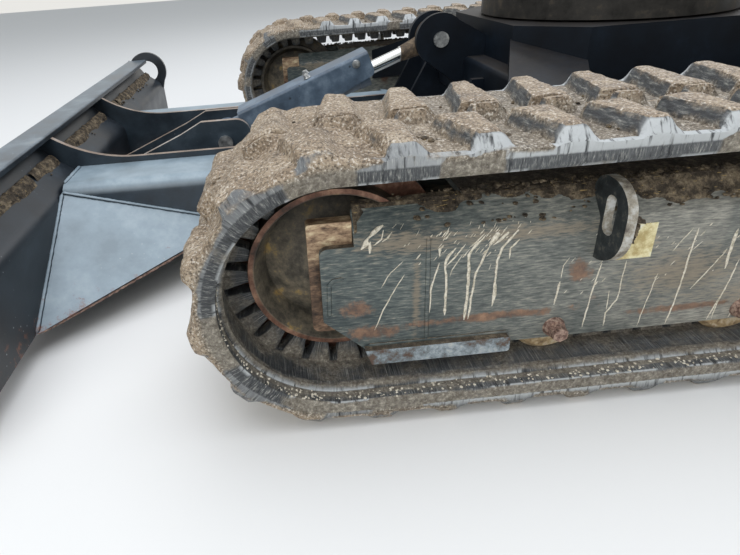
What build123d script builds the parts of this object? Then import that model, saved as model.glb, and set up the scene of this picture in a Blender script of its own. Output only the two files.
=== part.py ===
# Undercarriage of a rubber-tracked mini excavator, with its dozer blade.
# Millimetres. +X is forward, towards the blade, +Y is the machine's left, +Z is up.
# The model is drawn with the ground at Z = 0 and saved with its origin in the slewing ring's top face.

import math
import os

from build123d import *

os.makedirs("parts", exist_ok=True)

# Rubber tracks
LINK_L = 52.5           # one link of the belt
LINKS = 86              # links in the belt, an even number
TEETH = 23              # sprocket teeth, which also set how wide the belt wraps
TRACK_W = 300.0         # width of the belt
GAUGE = 1480.0          # from the middle of one track to the middle of the other
BELT_T = 27.0           # thickness of the belt between lugs
CORD_DEPTH = 11.0       # steel cords below the belt's outer face
LUG_H = 27.0            # height of a lug
LUG_IN_L = 53.0         # length of a lug's tip along the belt, at its inner end
LUG_OUT_L = 29.0        # and at its outer end
LUG_LEAD = 9.0          # slope of its leading side, foot to tip
LUG_TRAIL = 18.0        # slope of its trailing side
LUG_FLANK = 13.0        # slope of its outer end, from the belt's edge
LUG_TOE = 0.15          # share of its height that is left at the belt's edge
LUG_IN_OUTER = 45.0     # inner end of the outer row's lugs, from the belt's middle
LUG_IN_INNER = 6.0      # inner end of the inner row's lugs, from the belt's middle
LUG_START = 94.5        # tip's trailing edge of the first lug behind the idler's top
GUIDE_H = 39.7          # depth of the belt's guide lugs, on whose tips the idlers run

# Idlers, rollers and sprockets
IDLER_HALF = 56.0       # half the width of the idler's rim
FLANGE_HALF = 18.0      # half the width of the flange that runs between the guide lugs
IDLER_RIM_T = 9.0
IDLER_DISH = 18.0       # step from the rim down to the dished web
IDLER_HUB_INSET = 8.0   # hub's end inside the rim's side
IDLER_HUB_R = 44.0
IDLER_AXLE_R = 21.0
ROLLER_R = 58.0         # treads that run on the belt beside the guide lugs
ROLLER_IN = 53.0        # inner and outer end of a tread from the belt's middle
ROLLER_OUT = 78.0
ROLLER_LIP = 8.0        # chamfer at a roller's outer end
ROLLER_AXLE_R = 16.0
ROLLER_COUNT = 4
ROLLER_SPACING = 308.0
ROLLER_FIRST = 336.0    # behind the idler's axle
TOP_ROLLER_R = 50.0
TOP_ROLLER_OUT = 70.0
TOP_AXLE_R = 10.0
TOP_ROLLER_BACK = 850.0 # behind the idler's axle
BEARER_T = 12.0         # plates that carry the top roller's axle
BEARER_GAP = 3.0
BEARER_FOOT = 68.0      # their length at the foot and at the top
BEARER_HEAD = 48.0
BEARER_RISE = 18.0      # their top above the roller's axle
TOOTH_HALF = 20.0       # half the width of the sprocket's rim
TOOTH_DEPTH = 21.0
DRUM_R = 104.0          # gearbox drum in the sprocket
DRUM_CAP_R = 74.0
DRUM_CAP_IN = 25.0      # the drum's cap inside the belt's edge
DRUM_SHOULDER_IN = 40.0
MOTOR_IN = 4.0          # the motor's inner end inside the belt's edge
MOTOR_R = 68.0
RUN_GAP = 0.3           # what a wheel keeps from the belt it carries
SHAFT_FIT = 0.05        # radial clearance of a shaft in its bore

# Track frames
FRAME_HALF = 92.0       # half the width over the walls
WALL = 10.0
FRAME_TOP = 113.0       # top plate above the axles
FRAME_BOTTOM = 138.0    # lower edge below the axles
SHOULDER_W = 37.0       # the walls lean in to the top plate by this much
SHOULDER_H = 43.0       # over this much height
SHOULDER_R = 16.0       # outer radius of the bends
FRAME_FRONT = 22.0      # end of the channel behind the idler's axle
TONGUE_FRONT = 28.0     # end of the tongue plates in front of the idler's axle
TONGUE_TOP = 60.0
TONGUE_BOTTOM = 66.0
TONGUE_R = 12.0
TONGUE_LAP = 60.0       # how far the tongue plates run back inside the walls
STRIP_T = 12.0          # guide strips on the frame's lower edge
STRIP_H = 28.0
STRIP_L = 229.0
STRIP_START = 33.0      # behind the idler's axle
STRIP_DROP = 10.0       # how far a strip stands below the frame's edge
STRIP_R = 5.0
STRIP_SLANT = 10.0      # its front end slants back by this much
YOKE_T = 16.0
YOKE_GAP = 4.0          # yoke to idler
YOKE_PLAY = 2.0         # yoke to the frame's wall
YOKE_FRONT = 44.0
YOKE_TOP = 95.0
YOKE_STEP = 50.0        # where the yoke's upper bar ends
BRIDGE_GAP = 8.0        # between the idler and the bridge of its yoke
YOKE_R = 12.0
YOKE_BAR_R = 5.0
BRIDGE_T = 16.0         # plate that joins the yoke's cheeks at their rear
BRIDGE_UP = 20.0
FRAME_REAR = 14.0       # frame's end in front of the belt's wrap on the sprocket
WINDOW = 6.0            # clearance of the openings for the top roller and the idler
MOUTH = 10.0            # room behind the idler
MOTOR_PLATE_T = 16.0
MOTOR_PLATE_R = 120.0
MOTOR_PLATE_L = 60.0    # how far the motor's plate laps the frame
MOTOR_PLATE_TOP = 70.0
RING_X = 385.0          # front tie-down ring behind the idler's axle
RING_T = 14.0
RING_H = 130.0
RING_LOW = 5.0          # foot of the ring above the axles
RING_IN = 85.0          # reach of the ring inwards from the track's outer edge
RING_HOLE_W = 24.0
RING_HOLE_H = 60.0
RING_HOLE_IN = 40.0     # middle of the hole from the track's outer edge
RING_HOLE_UP = 77.0     # middle of the hole above the ring's foot
RING_R = 30.0
RING_CREST_R = 44.0
RING_FOOT_R = 60.0
RING_INSET = 3.0        # ring inside the track's outer edge

# Car body
SLEW_FACE_Z = 550.0     # top of the slewing ring above the ground
RACE_H = 55.0
RACE_STEP = 5.0         # the turning race sits this much higher
RACE_GAP = 0.4
SLEW_PCD = 572.0
RACE_EDGE = 24.0        # bolt circle to the turning race's inner and outer edge
INNER_RACE_W = 48.0     # width of the fixed race over its teeth
SLEW_BOLTS = 20
SLEW_HOLE_R = 8.75
GEAR_TEETH = 72
GEAR_DEPTH = 11.0
BOX_HALF_X = 330.0      # centre box
BOX_HALF_Y = 330.0
BOX_CUT = 120.0         # corners cut off the box in plan
BOX_BOTTOM = 292.0
BOX_WALL = 14.0
BOX_OPENING_R = 200.0   # hole in the box's top plate
COVER_T = 8.0
COVER_INSET = 4.0
LEG_X = 430.0           # where a leg meets the track frame
LEG_HALF = 85.0
LEG_DROP = 160.0        # top of the leg's outer end below the box's top
LEG_ROOT_X = 150.0      # the leg's root inside the box, from here to the box's end
LEG_ROOT_Y = 200.0
LEG_ROOT_DROP = 30.0    # top of the root below the box's top
LEG_ROOT_UP = 32.0      # foot of the root above the box's bottom
LEG_FOOT = 10.0         # foot of the outer end below the axles
CROSS_FRONT = 385.0     # front face of the cross member
CROSS_HALF_Y = 400.0
CROSS_TOP = 400.0
CROSS_BOTTOM = 286.0
CROSS_R = 12.0
CROSS_FLAT = 40.0       # level part of its underside, in front of a slope that rises by half as much
SWIVEL_R = 58.0
SWIVEL_TOP = 30.0       # swivel joint above the slewing ring's top
SWIVEL_TAIL = 20.0      # and below the belly cover
SWIVEL_FLANGE_R = 98.0

# Blade
BLADE_BACK = 341.0      # from the tracks' front to the blade's back
BLADE_CLEAR = 50.0      # blade above the ground, as parked
BLADE_H = 281.0         # to the top of the top bar
BLADE_BOX = 175.0       # straight part of the box behind the mouldboard
BLADE_BEND = 40.0
BLADE_DEPTH = 79.0      # cutting edge in front of the blade's back
MOULD_HOLLOW = 47.0     # mouldboard's face in front of the back, where it is deepest
MOULD_LOW = 20.0        # the deepest point is this far below the middle
BOARD_T = 12.0          # thickness of the mouldboard
BOX_RISE = 50.0         # the box behind it slopes up by this much from its back to the mouldboard
BAR_T = 13.0
BAR_R = 5.0
BAR_BACK = 51.0         # rear edge of the top bar in front of the blade's back
BAR_FRONT = 126.0
BAR_LIP = 7.0           # how far the top bar stands out over the mouldboard's face
EDGE_T = 12.0
EDGE_H = 90.0
EDGE_LEAN = 2.0
END_T = 16.0
EYE_R = 77.0
EYE_HOLE_R = 43.0
EYE_X = 53.0            # middle of the eye in front of the blade's back
EYE_DROP = 48.0         # middle of the eye below the top bar's top
CHEEK_WAIST = 46.0      # the end plate in front of the hollow
PIVOT_X = 470.0         # the arms' pivot in front of the slewing ring's middle
PIVOT_Z = 175.0
ARM_IN = 205.0          # inner face of an arm from the machine's middle
ARM_OUT = 355.0
ARM_TOP = 242.0
ARM_BOTTOM = 120.0
ARM_BEND = 30.0
ARM_LOW_R = 10.0
ARM_NECK = 70.0         # the arm narrows to its bush over this length
BUSH_END = 5.0          # how far a bush stands out from the arm
SIDE_T = 12.0           # the arms' inner side plates
SIDE_TOP = 256.0
SIDE_SWEEP = 190.0      # how long the side plate's upward sweep is
ARM_BUSH_R = 52.0
ARM_PIN_R = 20.0
EAR_T = 16.0
EAR_GAP = 3.0
EAR_R = 50.0            # round end of an ear
EAR_TAIL = 50.0         # how far an ear reaches back under the cross member
EAR_HEEL = 30.0         # and how far below it
PIN_END = 8.0           # how far a pin stands out from its ears
GUSSET_T = 10.0
GUSSET_FOOT_Y = 636.0   # corner of the gusset on the blade's lower edge
GUSSET_HEEL = 380.0     # how far behind the blade the gusset ends on the arm
GUSSET_HEEL_Z = 124.0
GUSSET_TOP_Z = 231.0

# Blade cylinder
BARREL_PIN_X = 346.0    # behind the blade's back
BARREL_PIN_Z = 225.0
ROD_PIN_X = 452.0
ROD_PIN_Z = 449.0
CYL_PIN_R = 20.0
CYL_R = 39.0
ROD_R = 18.0
ROD_BACK = 195.0        # barrel's pin to the rod's inner end, as parked
BORE_START = 95.0       # barrel's pin to the bottom of its bore
TUBE_L = 432.0          # barrel's pin to the end of its gland
EYE_NECK_L = 104.0      # rod's pin to where the bare rod starts
CYL_EYE_R = 40.0
ROD_EYE_R = 52.0
ROD_EYE_BORE = 34.5     # wide, so that the open end of the linkage may drift
ROD_EYE_HALF = 26.0
CYL_EAR_T = 16.0
CYL_EAR_GAP = 3.0
BRACKET_R = 66.0
BRACKET_ROOT = 60.0     # how far the bracket's cheeks run back over the cross member
BARREL_EAR_HALF = 60.0  # top edge of the barrel's ears, in front of and behind the pin
BARREL_EAR_TOP = 62.0   # above the pin
BARREL_EAR_TAIL = 90.0  # rear end behind the pin
BARREL_EAR_BEND = 40.0
GLAND_R = 42.0
GLAND_L = 30.0
GUARD_HALF = 47.0
GUARD_T = 5.0
GUARD_TOP = 55.0        # above the cylinder's axis
GUARD_START = 62.0
GUARD_END = 450.0
GUARD_R = 8.0
GUARD_CHEEK = 36.0      # rear part of its sides below the cylinder's axis
GUARD_CHEEK_L = 120.0
GUARD_NOSE = 9.0        # front end of its sides below the axis
GUARD_NOSE_R = 16.0
STRAP_W = 30.0
NECK_FLARE = 2.0        # the eye's neck is this much thicker than the rod where it starts
SEAT = 4.0              # how far a welded plate is drawn into the piece that then cuts it to length
PAST = 1.0              # how far a cutting block passes what it cuts

# Worked out from the sizes above
WRAP_R = TEETH * LINK_L / (2 * math.pi)
RACE_R = SLEW_PCD / 2 - RACE_EDGE
INNER_RACE_IN = RACE_R - INNER_RACE_W
OUTER_RACE_OUT = SLEW_PCD / 2 + RACE_EDGE
BELT_OUT = WRAP_R + CORD_DEPTH
BELT_IN = BELT_OUT - BELT_T
GUIDE_R = BELT_IN - GUIDE_H
AXLE_Z = BELT_OUT + LUG_H
WHEELBASE = LINKS * LINK_L / 2 - math.pi * WRAP_R
IDLER_X = WHEELBASE / 2
SPROCKET_X = -WHEELBASE / 2
TRACK_Y = GAUGE / 2
OUTSIDE_Y = TRACK_Y + TRACK_W / 2
BLADE_X = IDLER_X + AXLE_Z + BLADE_BACK
BLADE_TOP = BLADE_CLEAR + BLADE_H
BOX_TOP = SLEW_FACE_Z - RACE_STEP - RACE_H
ROLLER_Z = AXLE_Z - BELT_IN + ROLLER_R + RUN_GAP
BARREL_X = BLADE_X - BARREL_PIN_X
ROD_EAR_IN = ROD_EYE_HALF + CYL_EAR_GAP
ROD_EAR_OUT = ROD_EAR_IN + CYL_EAR_T
BARREL_EYE_HALF = GUARD_HALF + NECK_FLARE
BARREL_EAR_IN = BARREL_EYE_HALF + CYL_EAR_GAP
BARREL_EAR_OUT = BARREL_EAR_IN + CYL_EAR_T


def plate(points, y0, y1):
    """A solid with an outline of (x, z) or (x, z, corner radius) points, from y0 to y1."""
    return extrude(Plane.XZ.offset(-y0) * outline(points), amount=y0 - y1)


def bar(points, x0, x1):
    """A solid with an outline of (y, z) or (y, z, corner radius) points, from x0 to x1."""
    return extrude(Plane.YZ.offset(x0) * outline(points), amount=x1 - x0)


def slab(points, z0, z1):
    """A solid with an outline of (x, y) or (x, y, corner radius) points, from z0 to z1."""
    return extrude(Plane.XY.offset(z0) * outline(points), amount=z1 - z0)


def outline(points):
    """A flat face with straight sides, rounded at each point that gives a radius."""
    face = make_face(Polyline(*[(p[0], p[1]) for p in points], close=True).edges())
    for p in points:
        if len(p) == 3:
            corner = face.vertices().sort_by_distance(Vector(p[0], p[1]))[0]
            face = fillet(corner, p[2])
    return face


def round_bar(x, z, r, y0, y1):
    """A cylinder along Y."""
    return Solid.make_cylinder(r, y1 - y0, Plane(origin=(x, y0, z), z_dir=(0, 1, 0)))


def upright(r, z0, z1, x=0.0, y=0.0):
    """A cylinder along Z."""
    return Solid.make_cylinder(r, z1 - z0, Plane(origin=(x, y, z0)))


def turned(points, x, y, z):
    """A wheel about an axis along Y, with a section of (offset along Y, radius) points."""
    section = Plane(origin=(x, y, z), x_dir=(0, 1, 0), z_dir=(1, 0, 0)) * outline(points)
    return revolve(section, Axis((x, y, z), (0, 1, 0)))


def fused(first, *others):
    """One shape from pieces that touch."""
    return first.fuse(*others)


def skinned(sections):
    """A solid with a flat face from each edge of an outline to the same edge of the next one."""
    faces = [Face(Wire.make_polygon(ends, close=True)) for ends in (sections[0], sections[-1])]
    for first, second in zip(sections, sections[1:]):
        for k in range(len(first)):
            corners = [first[k - 1], first[k], second[k], second[k - 1]]
            faces.append(Face(Wire.make_polygon(corners, close=True)))
    return Solid(Shell(faces))


def save(name, shape):
    """Write one piece, moved so that the slewing ring's top face is at Z = 0."""
    export_step(Pos(0, 0, -SLEW_FACE_Z) * Compound(children=list(shape.solids())), f"parts/{name}.step")


def save_both(name, *shapes):
    """Write left pieces together with their mirror images on the right."""
    pieces = [solid for shape in shapes for solid in shape.solids()]
    save(name, Compound(children=pieces + [mirror(piece, about=Plane.XZ) for piece in pieces]))


# Rubber tracks: the belt runs over the idler's top, back to the sprocket and forward along the ground.

WRAP_L = math.pi * WRAP_R


def belt_frame(s):
    """The nearest axle line's x at s along the belt, and the outward direction there."""
    s = s % (2 * WHEELBASE + 2 * WRAP_L)
    if s < WHEELBASE:
        return IDLER_X - s, math.pi / 2
    if s < WHEELBASE + WRAP_L:
        return SPROCKET_X, math.pi / 2 + (s - WHEELBASE) / WRAP_R
    if s < 2 * WHEELBASE + WRAP_L:
        return SPROCKET_X + s - WHEELBASE - WRAP_L, 3 * math.pi / 2
    return IDLER_X, 3 * math.pi / 2 + (s - 2 * WHEELBASE - WRAP_L) / WRAP_R


def belt_point(s, r, ahead=0.0):
    """x, z at radius r from the axle line at s along the belt, moved ahead in a straight line."""
    x, angle = belt_frame(s)
    return (x + r * math.cos(angle) - ahead * math.sin(angle),
            AXLE_Z + r * math.sin(angle) + ahead * math.cos(angle))


def lug_row(shift, y_in, y_edge):
    """A strip of belt with a row of lugs, narrow at the belt's edge, where their outer ends slope down."""
    y_out = y_edge - math.copysign(LUG_FLANK, y_edge)
    foot_l = LUG_LEAD + LUG_IN_L + LUG_TRAIL
    sections = []
    # each section: distance from the belt's middle, length of the tip, share of the lug's height
    for y, tip_l, share in ((y_in, LUG_IN_L, 1.0), (y_out, LUG_OUT_L, 1.0), (y_edge, LUG_OUT_L, LUG_TOE)):
        lead = foot_l / 2 - LUG_TRAIL - tip_l - LUG_LEAD
        points = []
        for k in range(LINKS // 2):
            s = LUG_START + LUG_TRAIL - foot_l / 2 + (2 * k + shift) * LINK_L
            for r, ahead in ((0, -foot_l / 2 - LUG_TOE), (0, lead), (share, lead + share * LUG_LEAD),
                             (share, foot_l / 2 - share * LUG_TRAIL), (0, foot_l / 2)):
                points.append(belt_point(s, BELT_OUT + r * LUG_H, ahead))
        sections.append([(x, TRACK_Y + y, z) for x, z in points])
    return skinned(sections)


def loop(r, y0, y1):
    """The space inside a belt at r from the axles, from y0 to y1 off the track's middle."""
    outline = Plane.XZ.offset(-y1) * SlotCenterToCenter(WHEELBASE, 2 * r)
    return Pos(0, TRACK_Y, AXLE_Z) * extrude(outline, amount=y1 - y0)


half_w = TRACK_W / 2
belt = loop(BELT_OUT, -half_w, half_w)
track = fused(belt, lug_row(0, LUG_IN_OUTER, half_w), lug_row(1, -LUG_IN_INNER, -half_w))
track -= loop(BELT_IN, -half_w - PAST, half_w + PAST)
save("track_left", track)
save("track_right", mirror(track, about=Plane.XZ))

# Idlers: a dished wheel whose rim runs on the guide lugs, with a flange between them.
rim_r = GUIDE_R - RUN_GAP
flange_r = BELT_IN - RUN_GAP
hub_end = IDLER_HALF - IDLER_HUB_INSET
dish_r = rim_r - IDLER_RIM_T - IDLER_DISH
half = [(hub_end, IDLER_AXLE_R + SHAFT_FIT), (hub_end, IDLER_HUB_R), (FLANGE_HALF / 2, dish_r),
        (IDLER_HALF, rim_r - IDLER_RIM_T), (IDLER_HALF, rim_r), (FLANGE_HALF, rim_r), (FLANGE_HALF, flange_r)]
idler = turned(half + [(-across, radius) for across, radius in reversed(half)], IDLER_X, TRACK_Y, AXLE_Z)
save_both("idlers", idler)

# Idler yokes: two plates that slide in the frame's mouth, with the axle between them.
yoke_in = IDLER_HALF + YOKE_GAP
yoke_out = FRAME_HALF - WALL - YOKE_PLAY
yoke_low = AXLE_Z - YOKE_TOP
yoke_rear = IDLER_X - flange_r - BRIDGE_GAP - BRIDGE_T
frame_front = IDLER_X - FRAME_FRONT
arms = []
for side in (-1, 1):
    a, b = sorted((TRACK_Y + side * yoke_in, TRACK_Y + side * (yoke_in + YOKE_T)))
    arms.append(plate([
        (IDLER_X + YOKE_FRONT, yoke_low, YOKE_R), (IDLER_X + YOKE_FRONT, AXLE_Z + YOKE_STEP),
        (yoke_rear, AXLE_Z + YOKE_STEP), (yoke_rear, yoke_low),
    ], a, b))
    a, b = sorted((TRACK_Y + side * yoke_in, TRACK_Y + side * yoke_out))
    arms.append(plate([
        (IDLER_X + YOKE_FRONT, AXLE_Z + YOKE_STEP), (IDLER_X + YOKE_FRONT, AXLE_Z + YOKE_TOP, YOKE_BAR_R),
        (frame_front + YOKE_PLAY / 2, AXLE_Z + YOKE_TOP), (frame_front + YOKE_PLAY / 2, AXLE_Z + YOKE_STEP),
    ], a, b))
yoke_y = yoke_in + YOKE_T / 2
bridge = plate([
    (yoke_rear, yoke_low + BRIDGE_UP), (yoke_rear + BRIDGE_T, yoke_low + BRIDGE_UP),
    (yoke_rear + BRIDGE_T, AXLE_Z + YOKE_STEP), (yoke_rear, AXLE_Z + YOKE_STEP),
], TRACK_Y - yoke_y, TRACK_Y + yoke_y)
axle = round_bar(IDLER_X, AXLE_Z, IDLER_AXLE_R, TRACK_Y - yoke_y, TRACK_Y + yoke_y)
save_both("idler_yokes", fused(axle, bridge, *arms))

# Track frames: a bent channel, open below, with tongue plates, guide strips and the motor's plate.


def channel(inset, radius, x0, x1, foot):
    """The frame's section moved inwards, as a solid block from x0 to x1."""
    wide = FRAME_HALF - inset
    lean = math.atan2(SHOULDER_W, SHOULDER_H)
    top_half = FRAME_HALF - SHOULDER_W - inset * math.tan((math.pi / 2 - lean) / 2)
    shoulder_z = AXLE_Z + FRAME_TOP - SHOULDER_H - inset * math.tan(lean / 2)
    top_z = AXLE_Z + FRAME_TOP - inset
    right = [(wide, foot), (wide, shoulder_z, radius), (top_half, top_z, radius)]
    left = [(-y, *rest) for y, *rest in reversed(right)]
    return bar([(TRACK_Y + y, *rest) for y, *rest in right + left], x0, x1)


frame_rear = SPROCKET_X + BELT_IN + FRAME_REAR
low = AXLE_Z - FRAME_BOTTOM
top = AXLE_Z + FRAME_TOP
shell = channel(0, SHOULDER_R, frame_rear, frame_front, low)
shell -= channel(WALL, SHOULDER_R - WALL, frame_rear - PAST, frame_front + PAST, low - PAST)
inside = FRAME_HALF - WALL
chamfer_x = IDLER_X - STRIP_START
extras = []
cuts = []
for side in (-1, 1):
    a, b = sorted((TRACK_Y + side * inside, TRACK_Y + side * FRAME_HALF))
    extras.append(plate([
        (frame_front - TONGUE_LAP, AXLE_Z + TONGUE_TOP),
        (IDLER_X + TONGUE_FRONT, AXLE_Z + TONGUE_TOP, TONGUE_R),
        (IDLER_X + TONGUE_FRONT, AXLE_Z - TONGUE_BOTTOM), (chamfer_x, low + STRIP_H / 2),
        (frame_front - TONGUE_LAP, low + STRIP_H / 2),
    ], a, b))
    cuts.append(plate([
        (IDLER_X + TONGUE_FRONT, AXLE_Z - TONGUE_BOTTOM), (chamfer_x, low + STRIP_H / 2),
        (chamfer_x - STRIP_H / 2, low - PAST), (IDLER_X + TONGUE_FRONT, low - PAST),
    ], a - PAST, b + PAST))
    c, d = sorted((TRACK_Y + side * FRAME_HALF, TRACK_Y + side * (FRAME_HALF + STRIP_T)))
    extras.append(plate([
        (chamfer_x, low - STRIP_DROP + STRIP_H), (chamfer_x - STRIP_L, low - STRIP_DROP + STRIP_H, STRIP_R),
        (chamfer_x - STRIP_L, low - STRIP_DROP, STRIP_R), (chamfer_x - STRIP_SLANT, low - STRIP_DROP),
    ], c, d))
motor_in = TRACK_Y - FRAME_HALF
motor_plate = plate([
    (frame_rear + MOTOR_PLATE_L, AXLE_Z + MOTOR_PLATE_TOP), (SPROCKET_X, AXLE_Z + MOTOR_PLATE_R),
    (SPROCKET_X, AXLE_Z - MOTOR_PLATE_R), (frame_rear + MOTOR_PLATE_L, low + WALL),
], motor_in, motor_in + MOTOR_PLATE_T)
motor_disc = round_bar(SPROCKET_X, AXLE_Z, MOTOR_PLATE_R, motor_in, motor_in + MOTOR_PLATE_T)
frame = fused(shell, *extras, motor_plate, motor_disc)
for cut in cuts:
    frame -= cut
frame -= round_bar(SPROCKET_X, AXLE_Z, MOTOR_R + RUN_GAP, motor_in - PAST, motor_in + MOTOR_PLATE_T + PAST)
top_roller_x = IDLER_X - TOP_ROLLER_BACK
# openings in the top plate for the roller's treads and the idler: front, rear, half the width
bearer_in = TOP_ROLLER_OUT + BEARER_GAP
idler_mouth = IDLER_X - flange_r - MOUTH
window = TOP_ROLLER_R + WINDOW
for x0, x1, half_y in ((top_roller_x - window, top_roller_x + window, bearer_in),
                       (idler_mouth, frame_front + PAST, IDLER_HALF + WINDOW)):
    y0, y1 = TRACK_Y - half_y, TRACK_Y + half_y
    frame -= slab([(x0, y0), (x1, y0), (x1, y1), (x0, y1)],
                  top - SHOULDER_H, top + PAST)
top_roller_z = AXLE_Z + BELT_IN - TOP_ROLLER_R - RUN_GAP
for side in (-1, 1):
    a, b = sorted((TRACK_Y + side * bearer_in, TRACK_Y + side * (bearer_in + BEARER_T)))
    bearer = plate([
        (top_roller_x - BEARER_FOOT / 2, top - SHOULDER_H),
        (top_roller_x + BEARER_FOOT / 2, top - SHOULDER_H),
        (top_roller_x + BEARER_HEAD / 2, top_roller_z + BEARER_RISE),
        (top_roller_x - BEARER_HEAD / 2, top_roller_z + BEARER_RISE)], a, b)
    frame = fused(frame, bearer - channel(WALL / 2, PAST, frame_rear, frame_front, low))
save_both("track_frames", frame)

# Rollers: two treads on an axle, which leave room for the guide lugs between them.


def roller(x, z, r, out, axle_r, axle_end):
    """A roller whose treads run on the belt on both sides of the guide lugs."""
    half = [(axle_end, 0), (axle_end, axle_r), (out, axle_r), (out, r - ROLLER_LIP), (out - ROLLER_LIP, r),
            (ROLLER_IN, r),
            (ROLLER_IN, axle_r)]
    return turned(half + [(-across, radius) for across, radius in reversed(half)], x, TRACK_Y, z)


save_both("bottom_rollers", *[
    roller(IDLER_X - ROLLER_FIRST - k * ROLLER_SPACING, ROLLER_Z, ROLLER_R, ROLLER_OUT, ROLLER_AXLE_R, inside)
    for k in range(ROLLER_COUNT)
])
top_roller = roller(top_roller_x, top_roller_z, TOP_ROLLER_R, TOP_ROLLER_OUT, TOP_AXLE_R, bearer_in)
save_both("top_rollers", top_roller)

# Sprockets: a toothed rim on the gearbox drum.
tip_r = BELT_IN - RUN_GAP
root_r = tip_r - TOOTH_DEPTH
step = 360 / TEETH
teeth = []
for k in range(TEETH):
    # corners of a tooth: radius, angle as a share of one tooth
    for r, share in ((root_r, 0.06), (tip_r, 0.30), (tip_r, 0.46), (root_r, 0.70)):
        angle = math.radians(90 + (k + share - 0.38) * step)
        teeth.append((SPROCKET_X + r * math.cos(angle), AXLE_Z + r * math.sin(angle)))
sprocket = plate(teeth, TRACK_Y - TOOTH_HALF, TRACK_Y + TOOTH_HALF)
sprocket -= round_bar(SPROCKET_X, AXLE_Z, DRUM_R, TRACK_Y - TRACK_W, TRACK_Y + TRACK_W)
save_both("sprockets", sprocket)

# Travel motors: the gearbox drum outside the frame's plate, and the motor inside it.
drum_in = -FRAME_HALF + MOTOR_PLATE_T
save_both("travel_motors", turned([
    (MOTOR_IN - half_w, 0), (half_w - DRUM_CAP_IN, 0), (half_w - DRUM_CAP_IN, DRUM_CAP_R),
    (half_w - DRUM_SHOULDER_IN, DRUM_R),
    (drum_in, DRUM_R), (drum_in, MOTOR_R), (MOTOR_IN - half_w, MOTOR_R),
], SPROCKET_X, TRACK_Y, AXLE_Z))

# Tie-down rings: plates across the frame's shoulders with an oval hole, a pair to a side.
ring_low = AXLE_Z + RING_LOW
ring_in = OUTSIDE_Y - RING_IN
hole_y = OUTSIDE_Y - RING_HOLE_IN
hole_z = ring_low + RING_HOLE_UP
rings = []
for x in (IDLER_X - RING_X, SPROCKET_X + RING_X):
    ring_out = OUTSIDE_Y - RING_INSET
    ring = bar([(ring_in, ring_low + RING_H, RING_R), (ring_out, ring_low + RING_H, RING_CREST_R),
                (ring_out, ring_low, RING_FOOT_R), (ring_in, ring_low)], x - RING_T / 2, x + RING_T / 2)
    w, h, r = RING_HOLE_W / 2, RING_HOLE_H / 2, RING_HOLE_W / 2 - PAST
    ring -= bar([(hole_y - w, hole_z - h, r), (hole_y - w, hole_z + h, r), (hole_y + w, hole_z + h, r),
                 (hole_y + w, hole_z - h, r)], x - RING_T, x + RING_T)
    rings.append(ring - channel(0, SHOULDER_R, x - RING_T, x + RING_T, low))
save_both("tie_down_rings", *rings)

# Car body: an eight-sided centre box, a cross member in front and four sloping legs.
bx, by, cut = BOX_HALF_X, BOX_HALF_Y, BOX_CUT


def box_plan(inset):
    """Corners of the centre box in plan, moved inwards."""
    x, y = bx - inset, by - inset
    c = cut - (2 - math.sqrt(2)) * inset
    return [(x, -y + c), (x, y - c), (x - c, y), (-x + c, y),
            (-x, y - c), (-x, -y + c), (-x + c, -y), (x - c, -y)]


box = slab(box_plan(0), BOX_BOTTOM, BOX_TOP)
cross = plate([(bx - cut, CROSS_BOTTOM + CROSS_FLAT / 2), (CROSS_FRONT - CROSS_FLAT, CROSS_BOTTOM),
               (CROSS_FRONT, CROSS_BOTTOM, CROSS_R), (CROSS_FRONT, CROSS_TOP, CROSS_R),
               (bx - cut, CROSS_TOP)],
              -CROSS_HALF_Y, CROSS_HALF_Y)
core = fused(box, cross)
centre_box = core - slab(box_plan(BOX_WALL), BOX_BOTTOM - PAST, BOX_TOP - BOX_WALL)
centre_box -= upright(BOX_OPENING_R, BOX_TOP - BOX_WALL - PAST, BOX_TOP + PAST)
save("centre_box", centre_box)

leg_end_y = TRACK_Y - FRAME_HALF
leg_sets = {"front_legs": 1, "rear_legs": -1}
legs = {}
for name, way in leg_sets.items():
    pair = []
    for side in (-1, 1):
        near = [(way * LEG_ROOT_X, side * LEG_ROOT_Y), (way * bx, side * LEG_ROOT_Y)]
        far = [(way * (LEG_X - LEG_HALF), side * leg_end_y), (way * (LEG_X + LEG_HALF), side * leg_end_y)]
        ends = []
        for (p, q), z0, z1 in ((near, BOX_BOTTOM + LEG_ROOT_UP, BOX_TOP - LEG_ROOT_DROP),
                               (far, AXLE_Z - LEG_FOOT, BOX_TOP - LEG_DROP)):
            ends.append(Wire.make_polygon([(*p, z0), (*q, z0), (*q, z1), (*p, z1)], close=True))
        leg = Solid.make_loft(ends, ruled=True)
        pair += (leg - core).solids()
    legs[name] = Compound(children=pair)
    save(name, legs[name])

cover = slab(box_plan(COVER_INSET), BOX_BOTTOM - COVER_T, BOX_BOTTOM) - cross
save("belly_cover", cover - upright(SWIVEL_R, BOX_BOTTOM - COVER_T - PAST, BOX_BOTTOM + PAST))

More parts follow.
